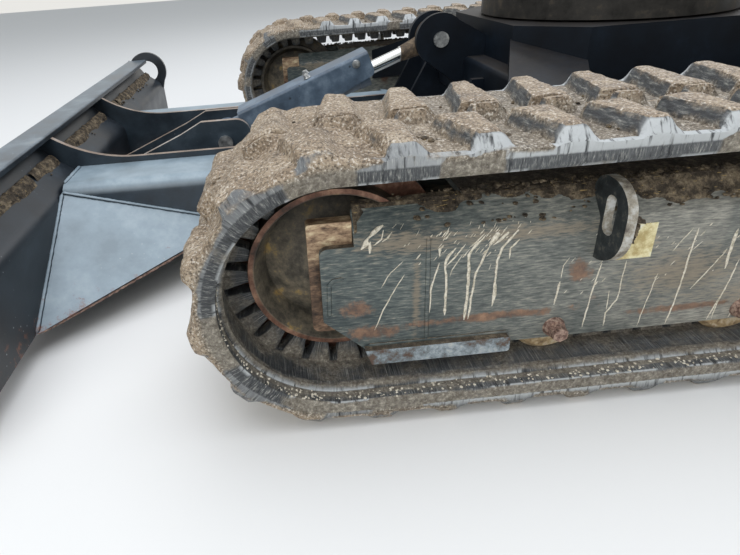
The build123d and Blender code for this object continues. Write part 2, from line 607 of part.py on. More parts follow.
# Slewing ring: the geared inner race is fixed, and the outer race turns on it.
race_low = BOX_TOP
race_top = race_low + RACE_H
pitch_angle = 360 / GEAR_TEETH
bore = []
for k in range(GEAR_TEETH):
    # corners of an inner tooth: radius, angle as a share of one tooth
    for r, share in ((INNER_RACE_IN + GEAR_DEPTH, 0.0), (INNER_RACE_IN, 0.28), (INNER_RACE_IN, 0.46),
                     (INNER_RACE_IN + GEAR_DEPTH, 0.74)):
        angle = math.radians((k + share) * pitch_angle)
        bore.append((r * math.cos(angle), r * math.sin(angle)))
save("slew_inner_race", upright(RACE_R, race_low, race_top) - slab(bore, race_low - PAST, race_top + PAST))
race = upright(OUTER_RACE_OUT, race_low + RACE_STEP, SLEW_FACE_Z)
race -= upright(RACE_R + RACE_GAP, race_low - PAST, SLEW_FACE_Z + PAST)
for k in range(SLEW_BOLTS):
    angle = math.radians((k + 0.5) * 360 / SLEW_BOLTS)
    x, y = SLEW_PCD / 2 * math.cos(angle), SLEW_PCD / 2 * math.sin(angle)
    race -= upright(SLEW_HOLE_R, race_low - PAST, SLEW_FACE_Z + PAST, x, y)
save("slew_outer_race", race)

swivel = upright(SWIVEL_R, BOX_BOTTOM - COVER_T - SWIVEL_TAIL, SLEW_FACE_Z + SWIVEL_TOP)
save("swivel_joint", fused(swivel, upright(SWIVEL_FLANGE_R, BOX_BOTTOM, BOX_BOTTOM + COVER_T)))

# Ears on the cross member for the blade's arms, and the pins through them.
ears = []
pins = []
ear_in = ARM_IN - BUSH_END - EAR_GAP - EAR_T
ear_out = ARM_OUT + BUSH_END + EAR_GAP
for side in (-1, 1):
    for near_y in (ear_in, ear_out):
        a, b = sorted((side * near_y, side * (near_y + EAR_T)))
        web = plate([
            (CROSS_FRONT - CROSS_R, CROSS_TOP - EAR_HEEL), (CROSS_FRONT + EAR_HEEL, CROSS_TOP - EAR_HEEL),
            (PIVOT_X + EAR_R, PIVOT_Z), (PIVOT_X, PIVOT_Z - EAR_R),
            (CROSS_FRONT - EAR_TAIL, CROSS_BOTTOM - EAR_HEEL),
            (CROSS_FRONT - EAR_TAIL, CROSS_BOTTOM + EAR_HEEL),
        ], a, b)
        ear = fused(web, round_bar(PIVOT_X, PIVOT_Z, EAR_R, a, b)) - core
        ear -= legs["front_legs"]
        ear -= round_bar(PIVOT_X, PIVOT_Z, ARM_PIN_R + SHAFT_FIT, -CROSS_HALF_Y, CROSS_HALF_Y)
        ears += ear.solids()
    a, b = sorted((side * (ear_in - PIN_END), side * (ear_out + EAR_T + PIN_END)))
    pins.append(round_bar(PIVOT_X, PIVOT_Z, ARM_PIN_R, a, b))
save("blade_pivot_ears", Compound(children=ears))
save("arm_pins", Compound(children=pins))

# Bracket for the blade cylinder's rod, and its pin.
ears = []
bulge = 0.7 * BRACKET_R
for side in (-1, 1):
    a, b = sorted((side * ROD_EAR_IN, side * ROD_EAR_OUT))
    head = round_bar(ROD_PIN_X, ROD_PIN_Z, BRACKET_R, a, b)
    web = plate([
        (CROSS_FRONT - BRACKET_ROOT, ROD_PIN_Z), (ROD_PIN_X - bulge, ROD_PIN_Z + bulge),
        (ROD_PIN_X + bulge, ROD_PIN_Z - bulge), (CROSS_FRONT + PAST, CROSS_BOTTOM + EAR_HEEL),
        (CROSS_FRONT - BRACKET_ROOT, CROSS_BOTTOM + EAR_HEEL),
    ], a, b)
    ear = fused(head, web)
    ear -= core
    ear -= round_bar(ROD_PIN_X, ROD_PIN_Z, CYL_PIN_R + SHAFT_FIT, -ROD_EAR_OUT - PAST, ROD_EAR_OUT + PAST)
    ears += ear.solids()
save("cylinder_bracket", Compound(children=ears))
save("rod_pin", round_bar(ROD_PIN_X, ROD_PIN_Z, CYL_PIN_R, -ROD_EAR_OUT - PIN_END, ROD_EAR_OUT + PIN_END))

# Blade: a curved mouldboard with a box behind it, a flat top bar and a bolted cutting edge.
bar_low = BLADE_TOP - BAR_T
box_top = BLADE_CLEAR + BLADE_BOX
hollow = BLADE_X + MOULD_HOLLOW
face_mid = (hollow, (BLADE_CLEAR + BLADE_TOP) / 2 - MOULD_LOW)
face_low = (BLADE_X + BLADE_DEPTH, BLADE_CLEAR)
face_top = (BLADE_X + BAR_FRONT - BAR_LIP, bar_low)
face_arc = ThreePointArc(face_top, face_mid, face_low)
inside_y = OUTSIDE_Y - END_T


def board_back(z):
    """The point on the mouldboard's back at a height."""
    centre = face_arc.arc_center
    return (centre.X - math.sqrt((face_arc.radius + BOARD_T) ** 2 - (z - centre.Y) ** 2), z)


def across(edges):
    """A solid between the blade's end plates with a section of joined edges."""
    return extrude(Plane.XZ.offset(-inside_y) * make_face([e.edges()[0] for e in edges]), amount=2 * inside_y)


back_top, shoulder, back_low = (board_back(z) for z in (bar_low, box_top + BOX_RISE, BLADE_CLEAR))
mouldboard = across([
    face_arc, Line(face_low, back_low), ThreePointArc(back_low, board_back(face_mid[1]), back_top),
    Line(back_top, face_top)])
save("mouldboard", mouldboard)
blade_box = across([
    Line((BLADE_X, BLADE_CLEAR), (BLADE_X, box_top)), Line((BLADE_X, box_top), shoulder),
    ThreePointArc(shoulder, board_back(face_mid[1]), back_low), Line(back_low, (BLADE_X, BLADE_CLEAR))])
knee = blade_box.edges().filter_by(Axis.Y).sort_by_distance((BLADE_X, 0, box_top))[0]
blade_box = fillet(knee, BLADE_BEND)
save("blade_box", blade_box)
edge_back = extrude(Plane.XZ.offset(-OUTSIDE_Y) * make_face([
    ThreePointArc(face_top, face_mid, face_low).edges()[0],
    Line(face_low, (face_top[0] + BLADE_DEPTH, face_low[1])).edges()[0],
    Line((face_top[0] + BLADE_DEPTH, face_low[1]), (face_top[0] + BLADE_DEPTH, face_top[1])).edges()[0],
    Line((face_top[0] + BLADE_DEPTH, face_top[1]), face_top).edges()[0],
]), amount=2 * OUTSIDE_Y)
cutting_edge = plate([(BLADE_X, BLADE_CLEAR), (BLADE_X + BLADE_DEPTH + EDGE_T, BLADE_CLEAR),
                      (BLADE_X + MOULD_HOLLOW + EDGE_T + EDGE_LEAN, BLADE_CLEAR + EDGE_H),
                      (BLADE_X, BLADE_CLEAR + EDGE_H)], -inside_y, inside_y) & edge_back
save("cutting_edge", cutting_edge)
top_bar = plate([(BLADE_X + BAR_BACK, bar_low), (BLADE_X + BAR_FRONT, bar_low),
                 (BLADE_X + BAR_FRONT, BLADE_TOP, BAR_R),
                 (BLADE_X + BAR_BACK, BLADE_TOP, BAR_R)], -inside_y, inside_y)
save("top_bar", top_bar)

eye_z = BLADE_TOP - EYE_DROP
eye_x = BLADE_X + EYE_X
cheek = plate([(BLADE_X, BLADE_CLEAR), (BLADE_X, eye_z - EYE_R), (eye_x - EYE_R, eye_z), (eye_x, eye_z),
               (BLADE_X + BAR_FRONT, BLADE_TOP), (hollow + CHEEK_WAIST, face_mid[1]),
               (BLADE_X + BLADE_DEPTH, BLADE_CLEAR)],
              inside_y, OUTSIDE_Y)
cheek = fused(cheek, round_bar(eye_x, eye_z, EYE_R, inside_y, OUTSIDE_Y))
cheek -= round_bar(eye_x, eye_z, EYE_HOLE_R, inside_y - PAST, OUTSIDE_Y + PAST)
save_both("end_plates", cheek)

# Arms: box sections from the pivot to the blade, each with a swept side plate and a big sloping gusset.
arm = bar([(ARM_IN + SIDE_T, ARM_BOTTOM), (ARM_IN + SIDE_T, ARM_TOP), (ARM_OUT, ARM_TOP, ARM_BEND),
           (ARM_OUT, ARM_BOTTOM, ARM_LOW_R)], PIVOT_X + ARM_BUSH_R, BLADE_X)
bush = round_bar(PIVOT_X, PIVOT_Z, ARM_BUSH_R, ARM_IN + SIDE_T, ARM_OUT + BUSH_END)
neck = plate([(PIVOT_X, PIVOT_Z + ARM_BUSH_R), (PIVOT_X + ARM_NECK, ARM_TOP),
              (PIVOT_X + ARM_NECK, ARM_BOTTOM),
              (PIVOT_X, PIVOT_Z - ARM_BUSH_R)], ARM_IN + SIDE_T, ARM_OUT)
arm = fused(arm, bush, neck)
arm -= round_bar(PIVOT_X, PIVOT_Z, ARM_PIN_R + SHAFT_FIT, 0, OUTSIDE_Y)
save_both("blade_arms", arm)

sweep_start = BLADE_X + BAR_BACK - SIDE_SWEEP
sweep_end = BLADE_X + BAR_BACK
sweep_r = (SIDE_SWEEP ** 2 + (bar_low - SIDE_TOP) ** 2) / (2 * (bar_low - SIDE_TOP))
half = math.asin(SIDE_SWEEP / sweep_r) / 2
mid = (sweep_start + sweep_r * math.sin(half), SIDE_TOP + sweep_r * (1 - math.cos(half)))
edges = [
    Line((PIVOT_X, PIVOT_Z - ARM_BUSH_R), (PIVOT_X, PIVOT_Z + ARM_BUSH_R)),
    Line((PIVOT_X, PIVOT_Z + ARM_BUSH_R), (PIVOT_X + ARM_NECK, SIDE_TOP)),
    Line((PIVOT_X + ARM_NECK, SIDE_TOP), (sweep_start, SIDE_TOP)),
    ThreePointArc((sweep_start, SIDE_TOP), mid, (sweep_end, bar_low)),
    Line((sweep_end, bar_low), (back_top[0] + SEAT, bar_low)),
    Line((back_top[0] + SEAT, bar_low), (shoulder[0] + SEAT, shoulder[1])),
    Line((shoulder[0] + SEAT, shoulder[1]), (BLADE_X + SEAT, box_top - BLADE_BEND)),
    Line((BLADE_X + SEAT, box_top - BLADE_BEND), (BLADE_X + SEAT, ARM_BOTTOM)),
    Line((BLADE_X + SEAT, ARM_BOTTOM), (PIVOT_X + ARM_NECK, ARM_BOTTOM)),
    Line((PIVOT_X + ARM_NECK, ARM_BOTTOM), (PIVOT_X, PIVOT_Z - ARM_BUSH_R)),
]
side_plate = extrude(Plane.XZ.offset(-ARM_IN) * make_face([e.edges()[0] for e in edges]), amount=-SIDE_T)
side_plate = fused(side_plate, round_bar(PIVOT_X, PIVOT_Z, ARM_BUSH_R, ARM_IN - BUSH_END, ARM_IN + SIDE_T))
side_plate = side_plate - mouldboard - blade_box
side_plate -= round_bar(PIVOT_X, PIVOT_Z, ARM_PIN_R + SHAFT_FIT, 0, OUTSIDE_Y)
save_both("arm_side_plates", side_plate)

foot = Vector(BLADE_X + SEAT / 2, GUSSET_FOOT_Y, BLADE_CLEAR)
head = Vector(BLADE_X + SEAT / 2, ARM_OUT - SEAT / 2, GUSSET_TOP_Z)
heel = Vector(BLADE_X - GUSSET_HEEL, ARM_OUT - SEAT / 2, GUSSET_HEEL_Z)
normal = (head - foot).cross(heel - foot).normalized()
inwards = normal * math.copysign(GUSSET_T, -normal.Z)
gusset = Solid.extrude(Face(Wire.make_polygon([foot, head, heel], close=True)), inwards)
room = Pos(BLADE_X / 2, ARM_OUT + OUTSIDE_Y / 2, BLADE_CLEAR + BLADE_H / 2) * Box(BLADE_X, OUTSIDE_Y, BLADE_H)
gusset &= room
save_both("gussets", gusset)

# Ears for the blade cylinder on a plate between the arms, and the barrel's pin.
floor_z = ARM_BOTTOM
floor_end = BARREL_X - BARREL_EAR_TAIL
floor_plate = slab([(floor_end, -ARM_IN), (BLADE_X, -ARM_IN), (BLADE_X, ARM_IN), (floor_end, ARM_IN)],
                   floor_z, floor_z + SIDE_T)
ears = [floor_plate]
for side in (-1, 1):
    a, b = sorted((side * BARREL_EAR_IN, side * BARREL_EAR_OUT))
    ears.append(plate([
        (floor_end, floor_z), (BLADE_X, floor_z), (BLADE_X, floor_z + BARREL_EAR_BEND),
        (BARREL_X + 2 * BARREL_EAR_HALF, BARREL_PIN_Z + BARREL_EAR_TOP / 2, BARREL_EAR_BEND),
        (BARREL_X + BARREL_EAR_HALF, BARREL_PIN_Z + BARREL_EAR_TOP), (BARREL_X - BARREL_EAR_HALF,
        BARREL_PIN_Z + BARREL_EAR_TOP, BARREL_EAR_BEND), (floor_end, BARREL_PIN_Z - CYL_PIN_R)], a, b))
cylinder_ears = fused(*ears)
bore_end = BARREL_EAR_OUT + PAST
cylinder_ears -= round_bar(BARREL_X, BARREL_PIN_Z, CYL_PIN_R + SHAFT_FIT, -bore_end, bore_end)
save("cylinder_ears", cylinder_ears)
pin_half = BARREL_EAR_OUT + PIN_END
save("barrel_pin", round_bar(BARREL_X, BARREL_PIN_Z, CYL_PIN_R, -pin_half, pin_half))

# Blade cylinder, drawn along +X from the barrel's pin and then turned to its rod's pin.
reach = math.hypot(ROD_PIN_X - BARREL_X, ROD_PIN_Z - BARREL_PIN_Z)
lean = math.degrees(math.atan2(ROD_PIN_Z - BARREL_PIN_Z, ROD_PIN_X - BARREL_X))


def on_cylinder(shape):
    """Turn a shape drawn along +X from the origin onto the cylinder's line."""
    return Pos(BARREL_X, 0, BARREL_PIN_Z) * Rot(0, -lean, 0) * shape


def along(r, x0, x1):
    """A cylinder along X."""
    return Solid.make_cylinder(r, x1 - x0, Plane(origin=(x0, 0, 0), z_dir=(1, 0, 0)))


eye = round_bar(0, 0, CYL_EYE_R, -BARREL_EYE_HALF, BARREL_EYE_HALF)
tube = fused(eye, along(CYL_R, CYL_PIN_R + SEAT, TUBE_L), along(GLAND_R, TUBE_L - GLAND_L, TUBE_L))
tube -= round_bar(0, 0, CYL_PIN_R + SHAFT_FIT, -BARREL_EAR_IN, BARREL_EAR_IN)
tube -= along(ROD_R + SHAFT_FIT, BORE_START, TUBE_L + PAST)
save("cylinder_tube", on_cylinder(tube))

guard = plate([(GUARD_START, -GUARD_TOP), (GUARD_END, -GUARD_TOP), (GUARD_END, GUARD_NOSE, GUARD_NOSE_R),
               (GUARD_START + GUARD_CHEEK_L, GUARD_CHEEK), (GUARD_START, GUARD_CHEEK)],
              -GUARD_HALF, GUARD_HALF)
guard = fillet(guard.edges().filter_by(Axis.X).group_by(Axis.Z)[0], GUARD_R)
guard_in = GUARD_HALF - GUARD_T
roof = GUARD_T - GUARD_TOP
guard -= plate([(GUARD_START - PAST, roof), (GUARD_END + PAST, roof), (GUARD_END + PAST, GUARD_TOP),
                (GUARD_START - PAST, GUARD_TOP)], -guard_in, guard_in)
straps = []
for x in (GUARD_START + 2 * STRAP_W, TUBE_L - 2 * STRAP_W):
    strap = bar([(-guard_in, roof), (guard_in, roof), (guard_in, 0), (-guard_in, 0)],
                x - STRAP_W / 2, x + STRAP_W / 2)
    straps.append(strap - along(CYL_R, 0, TUBE_L))
save("cylinder_guard", on_cylinder(fused(guard, *straps)))

rod_end = reach - EYE_NECK_L
neck = Solid.make_cone(ROD_R + NECK_FLARE, ROD_EYE_HALF, EYE_NECK_L - ROD_EYE_R + CYL_PIN_R / 2,
                       Plane(origin=(rod_end, 0, 0), z_dir=(1, 0, 0)))
rod_eye = round_bar(reach, 0, ROD_EYE_R, -ROD_EYE_HALF, ROD_EYE_HALF)
rod = fused(along(ROD_R, ROD_BACK, rod_end + SEAT), neck, rod_eye)
rod -= round_bar(reach, 0, ROD_EYE_BORE, -ROD_EAR_IN, ROD_EAR_IN)
save("rod", on_cylinder(rod))
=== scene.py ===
import math
import random

import bmesh
import bpy
from mathutils import Matrix, Vector, noise


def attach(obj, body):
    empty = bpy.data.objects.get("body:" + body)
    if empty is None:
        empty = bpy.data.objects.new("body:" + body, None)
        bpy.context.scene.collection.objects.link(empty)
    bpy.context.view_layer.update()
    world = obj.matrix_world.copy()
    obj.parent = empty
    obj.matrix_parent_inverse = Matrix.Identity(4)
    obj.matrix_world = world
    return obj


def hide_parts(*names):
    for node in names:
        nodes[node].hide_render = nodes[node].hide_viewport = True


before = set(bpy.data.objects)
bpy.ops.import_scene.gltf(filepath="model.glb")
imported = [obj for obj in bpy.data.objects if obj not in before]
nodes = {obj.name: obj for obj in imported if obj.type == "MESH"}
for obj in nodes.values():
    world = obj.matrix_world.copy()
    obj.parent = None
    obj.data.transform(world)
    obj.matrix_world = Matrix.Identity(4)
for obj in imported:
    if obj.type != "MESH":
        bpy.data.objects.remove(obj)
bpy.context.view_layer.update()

# The stage: a plain pale floor under soft light, seen from the machine's left side near its front, a little
# above the track. It isn't part of the object.
GROUND = -0.55
FLOOR_SIZE = 14.0
PALE = "#e9e8e4"
CAMERA_AT = (0.8872, 1.4690, 0.1026)
CAMERA_TURN = (63.4089, 3.8031, 175.7550)
CAMERA_LENS = 25.266
CAMERA_SHIFT = (0.0780, -0.0737)
LAMPS_AIM = Vector((0.4, 0.4, -0.3))


def linear(colour):
    """The linear colour that a socket holds, from an sRGB hex colour."""
    parts = [int(colour[i:i + 2], 16) / 255 for i in (1, 3, 5)]
    return [c / 12.92 if c <= 0.04045 else ((c + 0.055) / 1.055) ** 2.4 for c in parts] + [1.0]


def add(finish, kind, inputs=(), stops=(), **settings):
    """Add a node: its settings, a ramp's stops, and its inputs, each a plain value, a socket that feeds it, or
    a node that stands for its first output in use."""
    tree = finish.node_tree
    made = tree.nodes.new("ShaderNode" + kind)
    for name, value in settings.items():
        setattr(made, name, value)
    for place, (position, colour) in enumerate(stops):
        elements = made.color_ramp.elements
        element = elements[place] if place < 2 else elements.new(position)
        element.position = position
        element.color = linear(colour)
    for name, value in dict(inputs).items():
        if isinstance(value, bpy.types.Node):
            value = next(socket for socket in value.outputs if socket.enabled)
        if isinstance(value, bpy.types.NodeSocket):
            tree.links.new(value, made.inputs[name])
        elif isinstance(value, str):
            made.inputs[name].default_value = linear(value)
        else:
            made.inputs[name].default_value = value
    return made


def material(name):
    """A new empty node material."""
    made = bpy.data.materials.new(name)
    made.use_nodes = True
    made.node_tree.nodes.clear()
    return made


floor_mesh = bpy.data.meshes.new("floor")
bm = bmesh.new()
bmesh.ops.create_grid(bm, x_segments=1, y_segments=1, size=FLOOR_SIZE)
bmesh.ops.translate(bm, verts=bm.verts, vec=(0, 0, GROUND))
bm.to_mesh(floor_mesh)
bm.free()
floor = bpy.data.objects.new("floor", floor_mesh)
bpy.context.collection.objects.link(floor)
pale_floor = material("studio floor")
shade = add(pale_floor, "BsdfPrincipled", {"Base Color": PALE, "Roughness": 0.9, "Specular IOR Level": 0.1})
add(pale_floor, "OutputMaterial", {"Surface": shade})
floor_mesh.materials.append(pale_floor)

world = bpy.data.worlds.new("pale room")
bpy.context.scene.world = world
world.use_nodes = True
world.node_tree.nodes.clear()
rays = add(world, "LightPath")
lit = add(world, "Background", {"Color": "#dfe6ee", "Strength": 0.62})
seen = add(world, "Background", {"Color": PALE, "Strength": 1.0})
shown = add(world, "Math", {0: rays.outputs["Is Camera Ray"], 1: rays.outputs["Is Glossy Ray"]},
            operation="MAXIMUM")
both = add(world, "MixShader", {0: shown, 1: lit, 2: seen})
add(world, "OutputWorld", {"Surface": both})

# lamps: name, place, size, power, colour
for name, place, size, power, colour in (
    ("overcast sky", (0.6, 0.6, 4.2), 5.0, 190, "#f4f7ff"),
    ("open side", (2.6, 4.0, 1.8), 3.0, 70, "#ffffff"),
    ("far side", (-2.8, -3.0, 2.6), 3.0, 60, "#f5f8ff"),
):
    lamp = bpy.data.lights.new(name, "AREA")
    lamp.size = size
    lamp.energy = power
    lamp.color = linear(colour)[:3]
    holder = bpy.data.objects.new(name, lamp)
    holder.location = place
    holder.rotation_euler = (LAMPS_AIM - Vector(place)).to_track_quat("-Z", "Y").to_euler()
    bpy.context.collection.objects.link(holder)

lens = bpy.data.cameras.new("camera")
lens.lens = CAMERA_LENS
lens.shift_x, lens.shift_y = CAMERA_SHIFT
lens.clip_start = 0.02
camera = bpy.data.objects.new("camera", lens)
camera.location = CAMERA_AT
camera.rotation_euler = [math.radians(a) for a in CAMERA_TURN]
bpy.context.collection.objects.link(camera)
bpy.context.scene.camera = camera
bpy.context.scene.view_settings.view_transform = "Standard"

# Track frames: box sections bent from hot-rolled plate, welded and painted a dark green-grey. Mud and
# stones have brushed the paint pale along the machine, and rust shows through it in patches and along its
# lower edges.


def paint_on(finish, *names):
    """Give CAD nodes a material."""
    for name in names:
        mesh = nodes[name].data
        mesh.materials.clear()
        mesh.materials.append(finish)


IDLER_X = 0.826875
AXLE_Z = -0.31982
TRACK_Y = 0.740                   # middle of a track
FRAME_HALF = 0.092                # from there to the outer face of a frame's wall
WALL_Y = 0.832                    # the same face from the machine's middle
STRIP_Y = 0.834                   # the guide strip stands out past this
STRIP_TOP = -0.437
frame_paint = material("weathered green-grey enamel on steel plate")
place = add(frame_paint, "TexCoord").outputs["Object"]
# streaks 18 mm long and 3 mm high, as stones have brushed the wall, which the eye reads as wear
brushed = add(frame_paint, "Mapping", {"Vector": place, "Scale": (55, 150, 360)})
grain = add(frame_paint, "TexNoise", {"Vector": brushed, "Scale": 1.0, "Detail": 7, "Roughness": 0.66})
at = add(frame_paint, "SeparateXYZ", {0: place})
dark_tone = add(frame_paint, "ValToRGB", {0: grain},
                stops=[(0.30, "#2b3334"), (0.46, "#4a5453"), (0.58, "#696e68"), (0.72, "#a8a699")])
pale_tone = add(frame_paint, "ValToRGB", {0: grain},
                stops=[(0.28, "#55544c"), (0.44, "#827f76"), (0.58, "#a39f92"), (0.74, "#d0cbbd")])
# the wall is paler toward the rear, where more mud has been rubbed along it
rearward = add(frame_paint, "MapRange", {0: at.outputs["X"], 1: 0.75, 2: 0.15, 3: 0.0, 4: 1.0})
tone = add(frame_paint, "Mix", {0: rearward, 6: dark_tone, 7: pale_tone}, data_type="RGBA")
cloud = add(frame_paint, "TexNoise", {"Vector": place, "Scale": 7.0, "Detail": 6, "Roughness": 0.6})
# a bluer cast in clouds 140 mm wide, and blotches of 40 mm that break up the rust and the dirt
blue = add(frame_paint, "ValToRGB", {0: cloud}, stops=[(0.36, "#8c9ca4"), (0.56, "#ffffff")])
darkened = add(frame_paint, "Mix", {0: 0.6, 6: tone, 7: blue}, data_type="RGBA", blend_type="MULTIPLY")
blotch = add(frame_paint, "TexNoise", {"Vector": place, "Scale": 24.0, "Detail": 10, "Roughness": 0.75})


def stained(spots, ragged, reach):
    """A mask of ragged spots on the walls: x, z, and half the length and height of each, in metres."""
    mask = ragged
    for x, z, long, high in spots:
        moved = add(frame_paint, "Mapping", {"Vector": place, "Location": (-x, 0, -z)})
        sized = add(frame_paint, "VectorMath", {0: moved, 1: (1 / long, 0.0, 1 / high)},
                    operation="MULTIPLY")
        off = add(frame_paint, "VectorMath", {0: sized}, operation="LENGTH")
        near = add(frame_paint, "MapRange", {0: off, 1: 1.4, 2: 0.3, 3: 0.0, 4: reach})
        both = add(frame_paint, "Math", {0: ragged, 1: near}, operation="ADD")
        mask = add(frame_paint, "Math", {0: mask, 1: both}, operation="MAXIMUM")
    return mask


# rust where stones strike: the tongue, the lower edge behind it and a spot ahead of the tie-down ring
rust_at = stained([(0.803, -0.368, 0.030, 0.015), (0.775, -0.415, 0.055, 0.018),
                   (0.597, -0.406, 0.150, 0.009), (0.464, -0.336, 0.020, 0.026),
                   (0.27, -0.425, 0.13, 0.008)], blotch, 0.32)
rusted = add(frame_paint, "MapRange", {0: rust_at, 1: 0.64, 2: 0.78, 3: 0.0, 4: 0.9})
rust_tone = add(frame_paint, "ValToRGB", {0: blotch},
                stops=[(0.45, "#5d4638"), (0.6, "#8c6a52"), (0.72, "#a98466")])
with_rust = add(frame_paint, "Mix", {0: rusted, 6: darkened, 7: rust_tone}, data_type="RGBA")
facing = add(frame_paint, "NewGeometry")
up = add(frame_paint, "SeparateXYZ", {0: facing.outputs["Normal"]})
muddy = add(frame_paint, "MapRange", {0: up.outputs["Z"], 1: 0.45, 2: 0.95, 3: 0.0, 4: 1.1})
crumbs = add(frame_paint, "TexNoise", {"Vector": place, "Scale": 70.0, "Detail": 9, "Roughness": 0.78})
mud_tone = add(frame_paint, "ValToRGB", {0: crumbs},
               stops=[(0.36, "#241e17"), (0.52, "#5b5041"), (0.64, "#8a7b66"), (0.74, "#b0a48d")])
dirt = add(frame_paint, "Math", {0: muddy, 1: blotch}, operation="MULTIPLY")
dirty = add(frame_paint, "MapRange", {0: dirt, 1: 0.25, 2: 0.45, 3: 0.0, 4: 0.95})
# tan clay rubbed on under the shoulder, and run down the front of the wall
tan_at = stained([(0.575, -0.262, 0.16, 0.016), (0.72, -0.262, 0.10, 0.020), (0.7135, -0.355, 0.007, 0.085),
                  (0.40, -0.300, 0.05, 0.018), (0.30, -0.355, 0.10, 0.045), (0.02, -0.405, 0.30, 0.030)],
                 grain, 0.27)
tan = add(frame_paint, "MapRange", {0: tan_at, 1: 0.60, 2: 0.78, 3: 0.0, 4: 0.7})
rubbed = add(frame_paint, "Mix", {0: tan, 6: with_rust, 7: "#8b7d68"}, data_type="RGBA")
# the strip under the wall is rubbed to bright steel by what the belt drags past it
sideways = add(frame_paint, "Math", {0: at.outputs["Y"]}, operation="ABSOLUTE")
outside = add(frame_paint, "Math", {0: sideways, 1: STRIP_Y}, operation="GREATER_THAN")
under = add(frame_paint, "Math", {0: at.outputs["Z"], 1: STRIP_TOP}, operation="LESS_THAN")
on_strip = add(frame_paint, "Math", {0: outside, 1: under}, operation="MULTIPLY")
strip_wear = add(frame_paint, "MapRange", {0: blotch, 1: 0.70, 2: 0.60, 3: 0.3, 4: 0.9})
bright_at = add(frame_paint, "Math", {0: on_strip, 1: strip_wear}, operation="MULTIPLY")
steel = add(frame_paint, "ValToRGB", {0: blotch},
            stops=[(0.40, "#5b4436"), (0.47, "#737b7e"), (0.55, "#a3adb2"), (0.66, "#ddd6c4")])
bright = add(frame_paint, "Mix", {0: bright_at, 6: rubbed, 7: steel}, data_type="RGBA")
colour = add(frame_paint, "Mix", {0: dirty, 6: bright, 7: mud_tone}, data_type="RGBA")
gloss = add(frame_paint, "MapRange", {0: grain, 1: 0.3, 2: 0.7, 3: 0.38, 4: 0.62})
dull = add(frame_paint, "Math", {0: dirty, 1: gloss}, operation="MAXIMUM")
scuffs = add(frame_paint, "Bump", {"Height": grain, "Strength": 0.25, "Distance": 0.0008})
relief = add(frame_paint, "Bump", {"Height": crumbs, "Strength": dirty, "Distance": 0.004, "Normal": scuffs})
shade = add(frame_paint, "BsdfPrincipled", {"Base Color": colour, "Roughness": dull, "Normal": relief})
add(frame_paint, "OutputMaterial", {"Surface": shade})
paint_on(frame_paint, "track_frames", "travel_motors")

# Dried slurry: thin pale clay that the belt flung on the left frame's wall. It ran down in thin lines and
# dried there as raised beads.


def finished(name, bm, finish, body, smooth=True):
    """A finished object from a bmesh: normals, shading, material and the body it rides on."""
    bmesh.ops.recalc_face_normals(bm, faces=bm.faces)
    mesh = bpy.data.meshes.new(name)
    bm.to_mesh(mesh)
    bm.free()
    mesh.polygons.foreach_set("use_smooth", [smooth] * len(mesh.polygons))
    mesh.materials.append(finish)
    made = bpy.data.objects.new(name, mesh)
    bpy.context.collection.objects.link(made)
    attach(made, body)
    return made


def trail(points, step):
    """Points about a step apart on the lines through the given points."""
    out = [points[0]]
    for start, end in zip(points, points[1:]):
        count = max(1, round((end - start).length / step))
        out += [start.lerp(end, k / count) for k in range(1, count + 1)]
    return out


def bead(bm, path, width, height, normal, rough=0.25):
    """A low rounded bead along a path, with an uneven width and thin ends."""
    last = len(path) - 1
    widths = [width * (1 + random.uniform(-rough, rough)) for k in range(last + 1)]
    widths[0], widths[last] = widths[0] * 0.25, widths[last] * 0.25
    for vert in bmesh.ops.create_grid(bm, x_segments=last, y_segments=6, size=0.5)["verts"]:
        k = round((vert.co.x + 0.5) * last)
        turn = (vert.co.y + 0.5) * 2 * math.pi
        ahead = (path[min(k + 1, last)] - path[max(k - 1, 0)]).normalized()
        across = normal.cross(ahead).normalized()
        out, up = widths[k] / 2 * math.cos(turn), height * widths[k] / width * math.sin(turn)
        vert.co = path[k] + across * out + normal * up
    bmesh.ops.remove_doubles(bm, verts=bm.verts, dist=0.00001)


clay = material("pale dried clay slurry")
place = add(clay, "TexCoord").outputs["Object"]
# grit 4 mm wide, which the eye reads as clay that has dried rough
grit = add(clay, "TexNoise", {"Vector": place, "Scale": 260.0, "Detail": 6, "Roughness": 0.7})
tone = add(clay, "ValToRGB", {0: grit}, stops=[(0.35, "#a39a85"), (0.5, "#d9d0bc"), (0.7, "#efe9da")])
relief = add(clay, "Bump", {"Height": grit, "Strength": 0.5, "Distance": 0.001})
shade = add(clay, "BsdfPrincipled", {"Base Color": tone, "Roughness": 0.85, "Normal": relief})
add(clay, "OutputMaterial", {"Surface": shade})
BEND_Z = 70.5                     # the wall bends into the shoulder at this height, in mm above the axles
SHOULDER_LEAN = 0.87              # and leans in by this much for each mm above it
FLICKS_NEAR, FLICKS = 75, 110     # how many of the flicks lie near the idler, and how many there are


def on_wall(ahead, above):
    """A place on the left frame's wall, in mm ahead of the idler's axle and above it."""
    lean = max(0, above - BEND_Z) * SHOULDER_LEAN
    return Vector((IDLER_X + ahead * 0.001, WALL_Y - lean * 0.001, AXLE_Z + above * 0.001))


random.seed(4)
bm = bmesh.new()
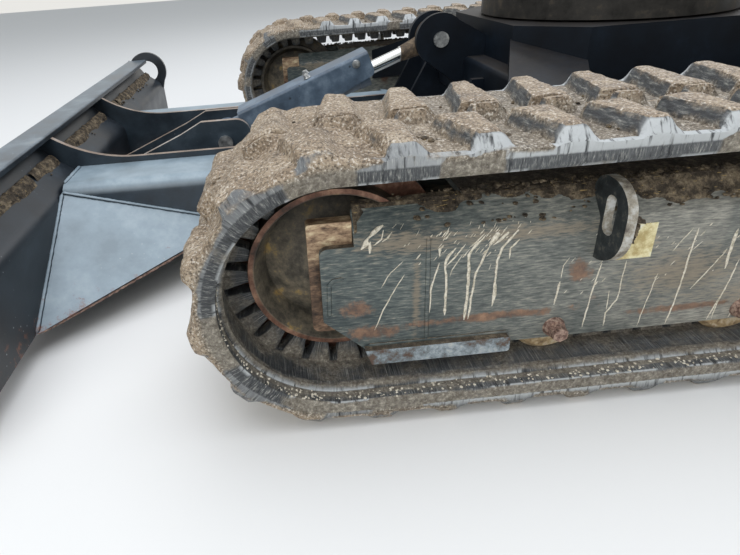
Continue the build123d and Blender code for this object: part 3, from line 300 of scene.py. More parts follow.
# width in mm, then places on the wall: mm ahead of the idler's axle, mm above it
for width, *places in (
    (10, (-66, 84), (-52, 76), (-40, 65), (-32, 55)), (5, (-45, 66), (-44, 47)),
    (2.5, (-66, 79), (-61, 68), (-50, 59)), (2.5, (-85, 84), (-78, 80)),
    (2.8, (-78, 76), (-71, 70), (-62, 64)), (2, (-96, 84), (-90, 78)),
    (1.4, (-93, 29), (-74, 11), (-60, -13)), (1.8, (-95, 6), (-82, -16), (-60, -61), (-50, -90)),
    (4.2, (-152, 49), (-146, 43), (-146, 31)), (2.9, (-146, 20), (-136, -19), (-134, -67)),
    (4.2, (-170, 43), (-159, 31), (-155, 18), (-159, -22), (-158, -75)),
    (2.4, (-184, 48), (-169, 27), (-158, 15)), (2.2, (-210, 62), (-198, 48), (-189, 41)),
    (4.4, (-210, 56), (-193, 37), (-190, 29), (-192, -25), (-190, -88)),
    (8.4, (-236, 78), (-230, 60), (-219, 41)), (3.3, (-219, 41), (-202, -4), (-198, -49), (-196, -87)),
    (4.2, (-252, 76), (-244, 59), (-233, 48), (-223, 41)),
    (3.6, (-272, 80), (-259, 62), (-238, 35), (-233, 14), (-233, -30), (-232, -67)),
    (3, (-262, 47), (-251, 34), (-251, 16)), (2.4, (-224, 10), (-222, 0)),
    (1.4, (-181, 32), (-166, 6), (-163, -6)), (2.3, (-395, -7), (-390, -37), (-387, -79), (-383, -126)),
    (2.2, (-432, -7), (-432, -67), (-431, -78), (-418, -101), (-419, -128)), (1.6, (-416, -59), (-418, -96)),
    (1.5, (-487, -36), (-483, -73), (-477, -115), (-476, -135)),
    (2.6, (-533, 38), (-530, -8), (-530, -53), (-528, -90), (-523, -136)), (1.3, (-524, 39), (-501, 1)),
    (1.5, (-588, -5), (-569, -37), (-548, -72)), (5.2, (-595, 30), (-593, 3), (-595, -40)),
    (2.3, (-613, -25), (-608, -69), (-597, -116), (-592, -136)),
    (1.7, (-606, -75), (-600, -114), (-600, -136)), (2.2, (-636, -100), (-629, -136)),
    (1.9, (-545, 14), (-532, 0)), (1.5, (-343, 8), (-335, -5), (-335, -29)),
    (3, (-235, -26), (-235, -46), (-233, -65)), (3.6, (-334, -33), (-333, -56), (-330, -76)),
):
    spots = trail([on_wall(ahead, above) for ahead, above in places], 0.009)
    path = [spot + Vector((random.uniform(-1, 1) * 0.0006, 0, 0)) for spot in spots]
    bead(bm, path, width * 0.001, 0.0007, Vector((0, 1, 0)))
# short flicks beside the runs, all thrown the same way by the belt
for k in range(FLICKS):
    if k < FLICKS_NEAR:
        ahead, above = random.triangular(-285, -60, -235), random.triangular(20, 84, 72)
    else:
        ahead, above = random.uniform(-640, -330), random.uniform(-60, 60)
    long = random.uniform(2.5, 11)
    spots = [on_wall(ahead + 0.6 * long * share, above - 0.8 * long * share) for share in (0, 0.5, 1)]
    bead(bm, spots, random.uniform(0.8, 2.4) * 0.001, 0.0005, Vector((0, 1, 0)))
finished("dried_slurry", bm, clay, "lower_frame")

# Mud: clay with straw that has fallen from the belt, lies crumbled on the frames' shoulders and dries from
# the top. Less of it lies near the idlers.
BATCH = 40
loose_clay = material("crumbled clay with straw")
place = add(loose_clay, "TexCoord").outputs["Object"]
# clods 18 mm wide, dark where damp and pale where dry, with straws 17 mm long and 2 mm thick
clods = add(loose_clay, "TexNoise", {"Vector": place, "Scale": 55.0, "Detail": 9, "Roughness": 0.75})
tone = add(loose_clay, "ValToRGB", {0: clods},
           stops=[(0.34, "#15110c"), (0.48, "#4a4033"), (0.60, "#85765f"), (0.72, "#b5a88f")])
straws = add(loose_clay, "Mapping", {"Vector": place, "Scale": (60, 420, 420), "Rotation": (0.4, 0.5, 0.9)})
straw = add(loose_clay, "TexNoise", {"Vector": straws, "Scale": 1.0, "Detail": 2})
straw_at = add(loose_clay, "MapRange", {0: straw, 1: 0.66, 2: 0.70, 3: 0.0, 4: 0.8})
colour = add(loose_clay, "Mix", {0: straw_at, 6: tone, 7: "#b59a63"}, data_type="RGBA")
relief = add(loose_clay, "Bump", {"Height": clods, "Strength": 1.0, "Distance": 0.006})
shade = add(loose_clay, "BsdfPrincipled", {"Base Color": colour, "Roughness": 0.88, "Normal": relief})
add(loose_clay, "OutputMaterial", {"Surface": shade})


def clamp(value):
    """The value kept between 0 and 1."""
    return max(0.0, min(1.0, value))


def crumbs_on(bm, spots, least, most):
    """Small uneven lumps at the given spots, a batch at a time so that the operators stay quick."""
    for start in range(0, len(spots), BATCH):
        batch = bmesh.new()
        for spot in spots[start:start + BATCH]:
            radius = random.uniform(least, most)
            lump = bmesh.ops.create_icosphere(batch, subdivisions=1, radius=radius)["verts"]
            for vert in lump:
                vert.co *= 1 + 0.5 * noise.noise(vert.co * 300 + spot * 900)
            sizes = [random.uniform(*ends) for ends in ((0.7, 1.5), (0.7, 1.3), (0.5, 0.9))]
            squash = Matrix.Diagonal((*sizes, 1))
            turn = Matrix.Rotation(random.uniform(0, 6.3), 4, "Z")
            bmesh.ops.transform(batch, matrix=Matrix.Translation(spot) @ turn @ squash, verts=lump)
        gathered = bpy.data.meshes.new("clods")
        batch.to_mesh(gathered)
        batch.free()
        bm.from_mesh(gathered)
        bpy.data.meshes.remove(gathered)


# the mud's profile from the top plate to the bend: mm from the track's middle, mm above the axles
SHOULDER = ((48, 113), (58, 110), (66, 101), (75, 90), (84, 79.5), (90, 72))


def shoulder_at(down):
    """That profile's point at a share of the way down it."""
    k = min(4, int(down * 5))
    part = down * 5 - k
    return [start + (end - start) * part for start, end in zip(SHOULDER[k], SHOULDER[k + 1])]


random.seed(9)
bm = bmesh.new()
for way in (1, -1):
    rear, front = -1600, -24
    for vert in bmesh.ops.create_grid(bm, x_segments=330, y_segments=10, size=0.5)["verts"]:
        along, down = vert.co.x + 0.5, vert.co.y + 0.5
        y, z = shoulder_at(down)
        x = rear + (front - rear) * along
        spot = Vector((x * 0.012, y * 0.02, way * 7.0))
        # it covers more behind the rings, less down the shoulder and less near the idler
        cover = 0.35 + noise.noise(spot) + 0.6 * noise.noise(spot * 3.1) + 0.5 * clamp((-250 - x) / 250)
        cover = cover - 2.6 * max(0, down - 0.3) - 0.9 * clamp((x + 170) / 120)
        # up to 5 mm thick, and where there is none the sheet sinks under the plate
        thick = (0.0065 * clamp(cover) - 0.0012) * clamp(along * 40) * clamp((1 - along) * 40)
        thick += 0.0022 * noise.noise(spot * 19) * clamp(cover)
        out = way * (TRACK_Y + (y + thick * 620) * 0.001)
        vert.co = Vector((IDLER_X + x * 0.001, out, AXLE_Z + z * 0.001 + thick * 0.8))
    spots = []
    for k in range(420):
        x = random.triangular(rear + 60, -60, -300)
        down = random.random() ** 2.2
        y, z = shoulder_at(down)
        spots.append(Vector((IDLER_X + x * 0.001, way * (TRACK_Y + y * 0.001), AXLE_Z + z * 0.001 + 0.004)))
    crumbs_on(bm, spots, 0.0015, 0.0055)
finished("mud_on_frames", bm, loose_clay, "lower_frame", smooth=False)

# Blank label: a vinyl sticker without any print, on the left frame's wall behind the tie-down ring. It has
# faded and gone yellow.
LABEL_L, LABEL_H = 0.054, 0.058
sticker = material("faded vinyl sticker")
place = add(sticker, "TexCoord").outputs["Object"]
# faded in patches 25 mm wide, which the eye reads as sun and dirt
fade = add(sticker, "TexNoise", {"Vector": place, "Scale": 40.0, "Detail": 6, "Roughness": 0.7})
tone = add(sticker, "ValToRGB", {0: fade}, stops=[(0.35, "#b7a26a"), (0.5, "#e2d6a4"), (0.65, "#efeee2")])
shade = add(sticker, "BsdfPrincipled", {"Base Color": tone, "Roughness": 0.45})
add(sticker, "OutputMaterial", {"Surface": shade})
bm = bmesh.new()
bmesh.ops.create_grid(bm, x_segments=8, y_segments=8, size=0.5)
label_turn = Matrix(((LABEL_L, 0, 0, IDLER_X - 0.441), (0, 0, 1, WALL_Y + 0.0004),
                     (0, LABEL_H, 0, AXLE_Z + 0.025), (0, 0, 0, 1)))
bmesh.ops.transform(bm, matrix=label_turn, verts=bm.verts)
finished("blank_label", bm, sticker, "lower_frame")

# Roller bolts: a forged hexagon screw with a thick round washer holds each end of a bottom roller's axle to
# the frame. Their zinc is long gone and they are rusty brown.
bolt_steel = material("rusty brown bolt steel")
place = add(bolt_steel, "TexCoord").outputs["Object"]
# pits 7 mm wide, drawn coarser than real ones so that they show
pits = add(bolt_steel, "TexNoise", {"Vector": place, "Scale": 150.0, "Detail": 7, "Roughness": 0.7})
tone = add(bolt_steel, "ValToRGB", {0: pits}, stops=[(0.33, "#33251f"), (0.47, "#80655a"), (0.6, "#b59c8b")])
relief = add(bolt_steel, "Bump", {"Height": pits, "Strength": 0.6, "Distance": 0.0015})
shade = add(bolt_steel, "BsdfPrincipled",
            {"Base Color": tone, "Roughness": 0.55, "Metallic": 0.35, "Normal": relief})
add(bolt_steel, "OutputMaterial", {"Surface": shade})


def bolt(bm, centre, axis, washer, head, stand):
    """A round washer and a hexagon head with chamfered corners, standing out from a face along an axis."""
    turn = axis.to_track_quat("Z", "Y").to_matrix().to_4x4()
    for sides, radius, top, low, thick in (
        (20, washer, washer * 0.86, 0.0, stand * 0.35),
        (6, head, head * 0.88, stand * 0.35, stand * 0.65),
    ):
        made = bmesh.ops.create_cone(bm, cap_ends=True, segments=sides, radius1=radius, radius2=top,
                                     depth=thick)
        outward = Matrix.Translation(centre) @ turn @ Matrix.Translation((0, 0, low + thick / 2))
        bmesh.ops.transform(bm, matrix=outward, verts=made["verts"])


ROLLER_X = (-0.336, -0.644, -0.952, -1.260)
ROLLER_BOLT_Z = AXLE_Z - 0.1182
WASHER_R, HEAD_R, STAND = 0.0180, 0.0142, 0.024
bm = bmesh.new()
for way in (1, -1):
    for x in ROLLER_X:
        for side in (1, -1):
            y = way * TRACK_Y + side * FRAME_HALF
            bolt(bm, Vector((IDLER_X + x, y, ROLLER_BOLT_Z)), Vector((0, side, 0)), WASHER_R, HEAD_R, STAND)
finished("roller_bolts", bm, bolt_steel, "lower_frame", smooth=False)

# Weld seams: rounded steel beads laid by hand where the tongue and strip plates meet the walls, and painted
# over with them.
random.seed(3)
bm = bmesh.new()
# each path: metres ahead of the idler's axle, metres above it
for way in (1, -1):
    wall = way * (TRACK_Y + FRAME_HALF)
    for path in (
        ((-0.129, 0.066), (-0.130, 0.0), (-0.131, -0.118)),
        ((-0.0385, -0.119), (-0.15, -0.119), (-0.262, -0.119)),
        ((0.0185, -0.058), (0.0165, 0.0), (0.010, 0.007), (-0.006, 0.0085)),
    ):
        spots = [Vector((IDLER_X + x, wall, AXLE_Z + z)) for x, z in path]
        bead(bm, trail(spots, 0.004), 0.0075, 0.0016, Vector((0, way, 0)), rough=0.12)
finished("frame_welds", bm, frame_paint, "lower_frame")

# Idlers, sprockets and top rollers: cast and forged steel wheels, brown with dried mud. On the idlers' and
# the sprockets' outer faces the rim is rubbed to red rust.
RIM_R = 0.1270                    # inner edge of the worn rim
dirty_steel = material("cast steel under thin dried mud")
place = add(dirty_steel, "TexCoord").outputs["Object"]
# blotches 40 mm wide, from wet brown to dry tan
blotch = add(dirty_steel, "TexNoise", {"Vector": place, "Scale": 26.0, "Detail": 10, "Roughness": 0.72})
tone = add(dirty_steel, "ValToRGB", {0: blotch},
           stops=[(0.30, "#2a2823"), (0.44, "#59544a"), (0.56, "#837967"), (0.66, "#c0a262")])
at = add(dirty_steel, "SeparateXYZ", {0: place})
# how far a point is from the nearest wheel's axle tells the rim from the dish
ahead = add(dirty_steel, "Math", {0: at.outputs["X"]}, operation="ABSOLUTE")
off_x = add(dirty_steel, "Math", {0: ahead, 1: IDLER_X}, operation="SUBTRACT")
off_z = add(dirty_steel, "Math", {0: at.outputs["Z"], 1: AXLE_Z}, operation="SUBTRACT")
off = add(dirty_steel, "CombineXYZ", {0: off_x, 2: off_z})
radius = add(dirty_steel, "VectorMath", {0: off}, operation="LENGTH")
rim = add(dirty_steel, "MapRange", {0: radius, 1: RIM_R, 2: RIM_R + 0.0025, 3: 0.0, 4: 1.0})
facing = add(dirty_steel, "NewGeometry")
toward = add(dirty_steel, "SeparateXYZ", {0: facing.outputs["Normal"]})
outward = add(dirty_steel, "Math", {0: toward.outputs["Y"]}, operation="ABSOLUTE")
rim_face = add(dirty_steel, "MapRange", {0: outward, 1: 0.3, 2: 0.8, 3: 0.0, 4: 0.9})
from_middle = add(dirty_steel, "Math", {0: at.outputs["Y"]}, operation="ABSOLUTE")
near_face = add(dirty_steel, "Math", {0: from_middle, 1: TRACK_Y}, operation="GREATER_THAN")
red_face = add(dirty_steel, "Math", {0: rim_face, 1: near_face}, operation="MULTIPLY")
red_at = add(dirty_steel, "Math", {0: rim, 1: red_face}, operation="MULTIPLY")
# darker toward the top
darkened = add(dirty_steel, "MapRange", {0: off_z, 1: -0.02, 2: 0.10, 3: 1.0, 4: 0.35})
darker_at_top = add(dirty_steel, "Mix", {0: 1.0, 6: tone, 7: darkened}, data_type="RGBA", blend_type="MULTIPLY")
rust_tone = add(dirty_steel, "ValToRGB", {0: blotch},
                stops=[(0.35, "#33241b"), (0.5, "#704a38"), (0.65, "#a57f68")])
colour = add(dirty_steel, "Mix", {0: red_at, 6: darker_at_top, 7: rust_tone}, data_type="RGBA")
relief = add(dirty_steel, "Bump", {"Height": blotch, "Strength": 0.5, "Distance": 0.003})
shade = add(dirty_steel, "BsdfPrincipled",
            {"Base Color": colour, "Roughness": 0.62, "Metallic": 0.15, "Normal": relief})
add(dirty_steel, "OutputMaterial", {"Surface": shade})
paint_on(dirty_steel, "idlers", "sprockets", "top_rollers")

# Bottom rollers: forged steel on fixed axles, cream-brown with clay and with rust spots. Their round ends
# show under the frames' lower edges.
roller_steel = material("forged steel roller under clay")
place = add(roller_steel, "TexCoord").outputs["Object"]
# patches 11 mm wide, which the eye reads as clay that flakes off
pits = add(roller_steel, "TexNoise", {"Vector": place, "Scale": 90.0, "Detail": 8, "Roughness": 0.7})
tone = add(roller_steel, "ValToRGB", {0: pits},
           stops=[(0.35, "#6e5a44"), (0.5, "#b49a72"), (0.62, "#cfc1a4"), (0.7, "#a8663c")])
relief = add(roller_steel, "Bump", {"Height": pits, "Strength": 0.5, "Distance": 0.002})
shade = add(roller_steel, "BsdfPrincipled",
            {"Base Color": tone, "Roughness": 0.7, "Metallic": 0.1, "Normal": relief})
add(roller_steel, "OutputMaterial", {"Surface": shade})
paint_on(roller_steel, "bottom_rollers")

# Idler yokes: cast steel slides that the tensioner pushes in the frames, rubbed golden brown on top and
# browner down their cheeks.
yoke_steel = material("rubbed golden-brown cast steel")
place = add(yoke_steel, "TexCoord").outputs["Object"]
# wear drawn out 25 mm along the slide and 11 mm across it
drawn = add(yoke_steel, "Mapping", {"Vector": place, "Scale": (40, 90, 90)})
wear = add(yoke_steel, "TexNoise", {"Vector": drawn, "Scale": 1.0, "Detail": 9, "Roughness": 0.7})
tone = add(yoke_steel, "ValToRGB", {0: wear},
           stops=[(0.32, "#3b2c22"), (0.45, "#8a7058"), (0.55, "#b59b7c"), (0.68, "#e2d3ae")])
at = add(yoke_steel, "SeparateXYZ", {0: place})
cheek = add(yoke_steel, "MapRange",
            {0: at.outputs["Z"], 1: AXLE_Z + 0.045, 2: AXLE_Z + 0.020, 3: 0.0, 4: 0.85})
brown = add(yoke_steel, "ValToRGB", {0: wear},
            stops=[(0.35, "#1f1712"), (0.5, "#4a3629"), (0.64, "#7d5b45")])
colour = add(yoke_steel, "Mix", {0: cheek, 6: tone, 7: brown}, data_type="RGBA")
relief = add(yoke_steel, "Bump", {"Height": wear, "Strength": 0.5, "Distance": 0.002})
shade = add(yoke_steel, "BsdfPrincipled",
            {"Base Color": colour, "Roughness": 0.45, "Metallic": 0.3, "Normal": relief})
add(yoke_steel, "OutputMaterial", {"Surface": shade})
paint_on(yoke_steel, "idler_yokes")

# Tie-down rings: plates cut by flame and welded on the frames' shoulders, their faces in dark paint drawn
# darker still as painted shade, their rims rubbed bare by chains. A lump of mud sticks on the left front one.
ring_paint = material("dark enamel in painted shade, rubbed bare at the rim")
place = add(ring_paint, "TexCoord").outputs["Object"]
# worn in patches 17 mm wide
wear = add(ring_paint, "TexNoise", {"Vector": place, "Scale": 60.0, "Detail": 8, "Roughness": 0.7})
facing = add(ring_paint, "NewGeometry")
toward = add(ring_paint, "SeparateXYZ", {0: facing.outputs["Normal"]})
sideways = add(ring_paint, "Math", {0: toward.outputs["X"]}, operation="ABSOLUTE")
rim = add(ring_paint, "MapRange", {0: sideways, 1: 0.7, 2: 0.3, 3: 0.0, 4: 1.0})
# the faces' tones: dark paint, with painted shade over it
dark = add(ring_paint, "ValToRGB", {0: wear}, stops=[(0.35, "#15191b"), (0.55, "#2c3234"), (0.7, "#6f6a5e")])
bare = add(ring_paint, "ValToRGB", {0: wear}, stops=[(0.35, "#5a5148"), (0.5, "#9a9384"), (0.65, "#c9c9c4")])
colour = add(ring_paint, "Mix", {0: rim, 6: dark, 7: bare}, data_type="RGBA")
relief = add(ring_paint, "Bump", {"Height": wear, "Strength": 0.4, "Distance": 0.002})
shade = add(ring_paint, "BsdfPrincipled", {"Base Color": colour, "Roughness": 0.5, "Normal": relief})
add(ring_paint, "OutputMaterial", {"Surface": shade})
paint_on(ring_paint, "tie_down_rings")
random.seed(12)
bm = bmesh.new()
lump_at = (IDLER_X - 0.392, 0.880, AXLE_Z + 0.072)
reach = ((-0.006, 0.004), (-0.004, 0.001), (-0.017, 0.017))
spots = [Vector([at + random.uniform(*ends) for at, ends in zip(lump_at, reach)]) for k in range(22)]
crumbs_on(bm, spots, 0.004, 0.008)
finished("mud_on_ring", bm, loose_clay, "lower_frame", smooth=False)

# Tracks: an endless rubber belt on each side, moulded round steel cords, with two rows of staggered lugs
# outside, guide lugs inside and fine ribs along its edges. The rubber is black, mud lies in its valleys and
# has dried on its lugs.
rubber = material("moulded rubber under dried mud")
coordinates = add(rubber, "TexCoord")
place = coordinates.outputs["Object"]
along_and_across = coordinates.outputs["UV"]
mud_at = add(rubber, "Attribute", attribute_name="mud")
smear_at = add(rubber, "Attribute", attribute_name="smear")
tip_at = add(rubber, "Attribute", attribute_name="tip")
# mud in patches 45 mm wide and crumbs of 8 mm, dry and tan on the tips, damp and grey in the valleys
broad = add(rubber, "TexNoise", {"Vector": place, "Scale": 22.0, "Detail": 8, "Roughness": 0.68})
fine = add(rubber, "TexNoise", {"Vector": place, "Scale": 130.0, "Detail": 8, "Roughness": 0.75})
dry = add(rubber, "ValToRGB", {0: broad},
          stops=[(0.30, "#6d5c48"), (0.46, "#95826a"), (0.58, "#ac9a82"), (0.72, "#cbbca6")])
damp = add(rubber, "ValToRGB", {0: fine},
           stops=[(0.30, "#3e382f"), (0.44, "#6e665a"), (0.56, "#8b8476"), (0.68, "#bdb5a5")])
speck = add(rubber, "ValToRGB", {0: fine}, stops=[(0.34, "#5c5650"), (0.48, "#ffffff")])
dry_mud = add(rubber, "Mix", {0: 0.85, 6: dry, 7: speck}, data_type="RGBA", blend_type="MULTIPLY")
smooth_colour = add(rubber, "Mix", {0: tip_at.outputs["Fac"], 6: damp, 7: dry_mud}, data_type="RGBA")
# pits and wet glints 4 mm wide, which the eye reads as gritty clay
grit = add(rubber, "TexNoise", {"Vector": place, "Scale": 270.0, "Detail": 3, "Roughness": 0.6})
gritty = add(rubber, "MapRange", {0: tip_at.outputs["Fac"], 1: 0.0, 2: 0.25, 3: 0.2, 4: 0.8})
pit_at = add(rubber, "MapRange", {0: grit, 1: 0.47, 2: 0.36, 3: 0.0, 4: gritty})
pitted = add(rubber, "Mix", {0: pit_at, 6: smooth_colour, 7: "#3a3027"}, data_type="RGBA")
glint_at = add(rubber, "MapRange", {0: grit, 1: 0.56, 2: 0.66, 3: 0.0, 4: gritty})
mud_colour = add(rubber, "Mix", {0: glint_at, 6: pitted, 7: "#e3dccf"}, data_type="RGBA")
# smears and scratches across the belt, where mud has been dragged over it
along_belt = add(rubber, "Mapping", {"Vector": along_and_across, "Scale": (120, 10, 1)})
streaks = add(rubber, "TexNoise", {"Vector": along_belt, "Scale": 1.0, "Detail": 5, "Roughness": 0.6})
streak_mask = add(rubber, "MapRange", {0: streaks, 1: 0.37, 2: 0.47, 3: 0.0, 4: 1.0})
smeared = add(rubber, "Math", {0: streak_mask, 1: smear_at.outputs["Fac"]}, operation="MULTIPLY",
              use_clamp=True)
scratched = add(rubber, "Mapping", {"Vector": along_and_across, "Scale": (420, 40, 1)})
scratches = add(rubber, "TexNoise", {"Vector": scratched, "Scale": 1.0, "Detail": 4, "Roughness": 0.7})
black = add(rubber, "ValToRGB", {0: scratches},
            stops=[(0.36, "#17181a"), (0.5, "#33363a"), (0.60, "#6b6c68"), (0.70, "#b3b1a8")])
white = add(rubber, "Mix", {0: smeared, 6: black, 7: "#c6c9c8"}, data_type="RGBA")
uneven = add(rubber, "Math", {0: broad, 1: mud_at.outputs["Fac"]}, operation="ADD")
covered = add(rubber, "MapRange", {0: uneven, 1: 0.74, 2: 0.96, 3: 0.0, 4: 1.0})
colour = add(rubber, "Mix", {0: covered, 6: white, 7: mud_colour}, data_type="RGBA")
relief = add(rubber, "Bump", {"Height": fine, "Strength": 0.9, "Distance": 0.004})
swell = add(rubber, "Bump", {"Height": broad, "Strength": 0.6, "Distance": 0.008, "Normal": relief})
gloss = add(rubber, "MapRange", {0: broad, 1: 0.35, 2: 0.65, 3: 0.40, 4: 0.8})
shade = add(rubber, "BsdfPrincipled", {"Base Color": colour, "Roughness": gloss, "Normal": swell})
add(rubber, "OutputMaterial", {"Surface": shade})
PITCH = 0.0525                    # one link
LINKS = 86
WRAP_R = 23 * PITCH / (2 * math.pi)
BELT_OUT = WRAP_R + 0.011         # belt's outer face, between lugs, from the axles
LUG_H = 0.027
LUG_FIRST = 0.0945                # rear edge of the first lug's tip, behind the idler's top
LUG_MIDDLE = 0.022                # middle of a lug's foot, ahead of that edge
LUG_BEND = 1.13                   # how much longer the belt's tread is than its cords where it bends
STRAIGHT = LINKS * PITCH / 2 - math.pi * WRAP_R
WRAP_L = math.pi * WRAP_R
LOOP = 2 * STRAIGHT + 2 * WRAP_L
STATIONS = 860                    # steps round the loop, ten to a link
GUIDE_H = 0.0397
HALF_W = 150                      # mm from the belt's middle to its edge
LUG_STARTS = (45, 6)              # the same to the inner end of the outer and of the inner row's lugs
LUG_END = 137                     # and to where a lug's outer end begins to slope down
FRONT_FROM, FRONT_OVER = 0.62, 0.22   # ahead of this place the mud gets thicker, over this length
# twenty steps along two links: mm behind a lug tip's rear edge at its inner end, at its outer end, height
LUG_STEPS = (
    (-62, -38, 0), (-57.5, -33.5, 0.5), (-53, -29, 0.93), (-45.4, -25.2, 1), (-31.8, -17.4, 1),
    (-19.2, -10.6, 1), (-7.6, -4.8, 0.99), (0, 0, 0.92), (4.5, 4.5, 0.74), (9, 9, 0.5), (13.5, 13.5, 0.25),
    (18, 18, 0.02), (20.8, 23.4, 0), (23.6, 28.9, 0), (26.3, 34.3, 0), (29.1, 39.8, 0), (31.9, 45.2, 0),
    (34.7, 50.7, 0), (37.4, 56.1, 0), (40.2, 61.6, 0),
)
# the tread's section, mm from the belt's middle: the outer row's lugs end at 45, the inner row's at -6
TREAD_ROWS = (150, 148.6, 146, 142.5, 140, 137, 132, 125, 116, 106, 96, 86, 76, 66, 57, 50, 45, 42.5, 38, 31,
              24, 17, 10, 4, -1, -3.5, -6, -11, -19, -29, -40, -52, -64, -76, -88, -98, -108, -118, -127,
              -133, -137, -140, -142.5, -146, -148.6, -150)
# the belt's sides and inner face: mm from the middle, depth under the outer face, share of a guide lug, mud
INNER_ROWS = (
    (150.0, 7, 0, 0.05), (150.0, 9.5, 0, 0.1), (150.0, 16, 0, 0.1), (150.0, 22, 0, 0.15),
    (147.0, 27, 0, 0.2), (145.0, 27.5, 0, 0.25), (136.0, 27.5, 0, 0.35), (131.0, 27.5, 0, 1.0),
    (124.0, 27, 0, 0.2), (119.0, 34, 0, 0.5), (110.0, 34, 0, 0.3), (105.0, 27, 0, 0.25), (80.0, 27, 0, 0.3),
    (56.0, 27, 0, 0.5), (51.0, 27, 1, 0.2), (27.0, 27, 1, 0.3), (22.0, 27, 0, 0.8), (8.0, 27, 0, 0.8),
)


def belt_place(s, r, y):
    """The point at s along the belt, at r from the axles and y from the belt's middle."""
    s = s % LOOP
    if s < STRAIGHT:
        return Vector((STRAIGHT / 2 - s, y, r))
    if s < STRAIGHT + WRAP_L:
        turn = (s - STRAIGHT) / WRAP_R
        return Vector((-STRAIGHT / 2 - r * math.sin(turn), y, r * math.cos(turn)))
    if s < 2 * STRAIGHT + WRAP_L:
        return Vector((-STRAIGHT / 2 + s - STRAIGHT - WRAP_L, y, -r))
    turn = (s - 2 * STRAIGHT - WRAP_L) / WRAP_R
    return Vector((STRAIGHT / 2 + r * math.sin(turn), y, -r * math.cos(turn)))


def lug_step(station, row, out):
    """A step's place along the belt, height and angle from its lug's middle, out mm from the middle line."""
    lug, step = divmod(station - 10 * row, 20)
    near, far, height = LUG_STEPS[step]
    start = LUG_STARTS[row]
    share = clamp((out - start) / (LUG_END - start))
    along = (near + (far - near) * share) * 0.001
    base = LUG_FIRST + (2 * lug + row) * PITCH
    bent = (base - LUG_MIDDLE) % LOOP
    if not (STRAIGHT < bent < STRAIGHT + WRAP_L or bent > 2 * STRAIGHT + WRAP_L):
        return base + along, height, 0.0, step
    if step < 12:
        along = (along + LUG_MIDDLE) / LUG_BEND - LUG_MIDDLE
    return base + along, height, (along + LUG_MIDDLE) / WRAP_R, step


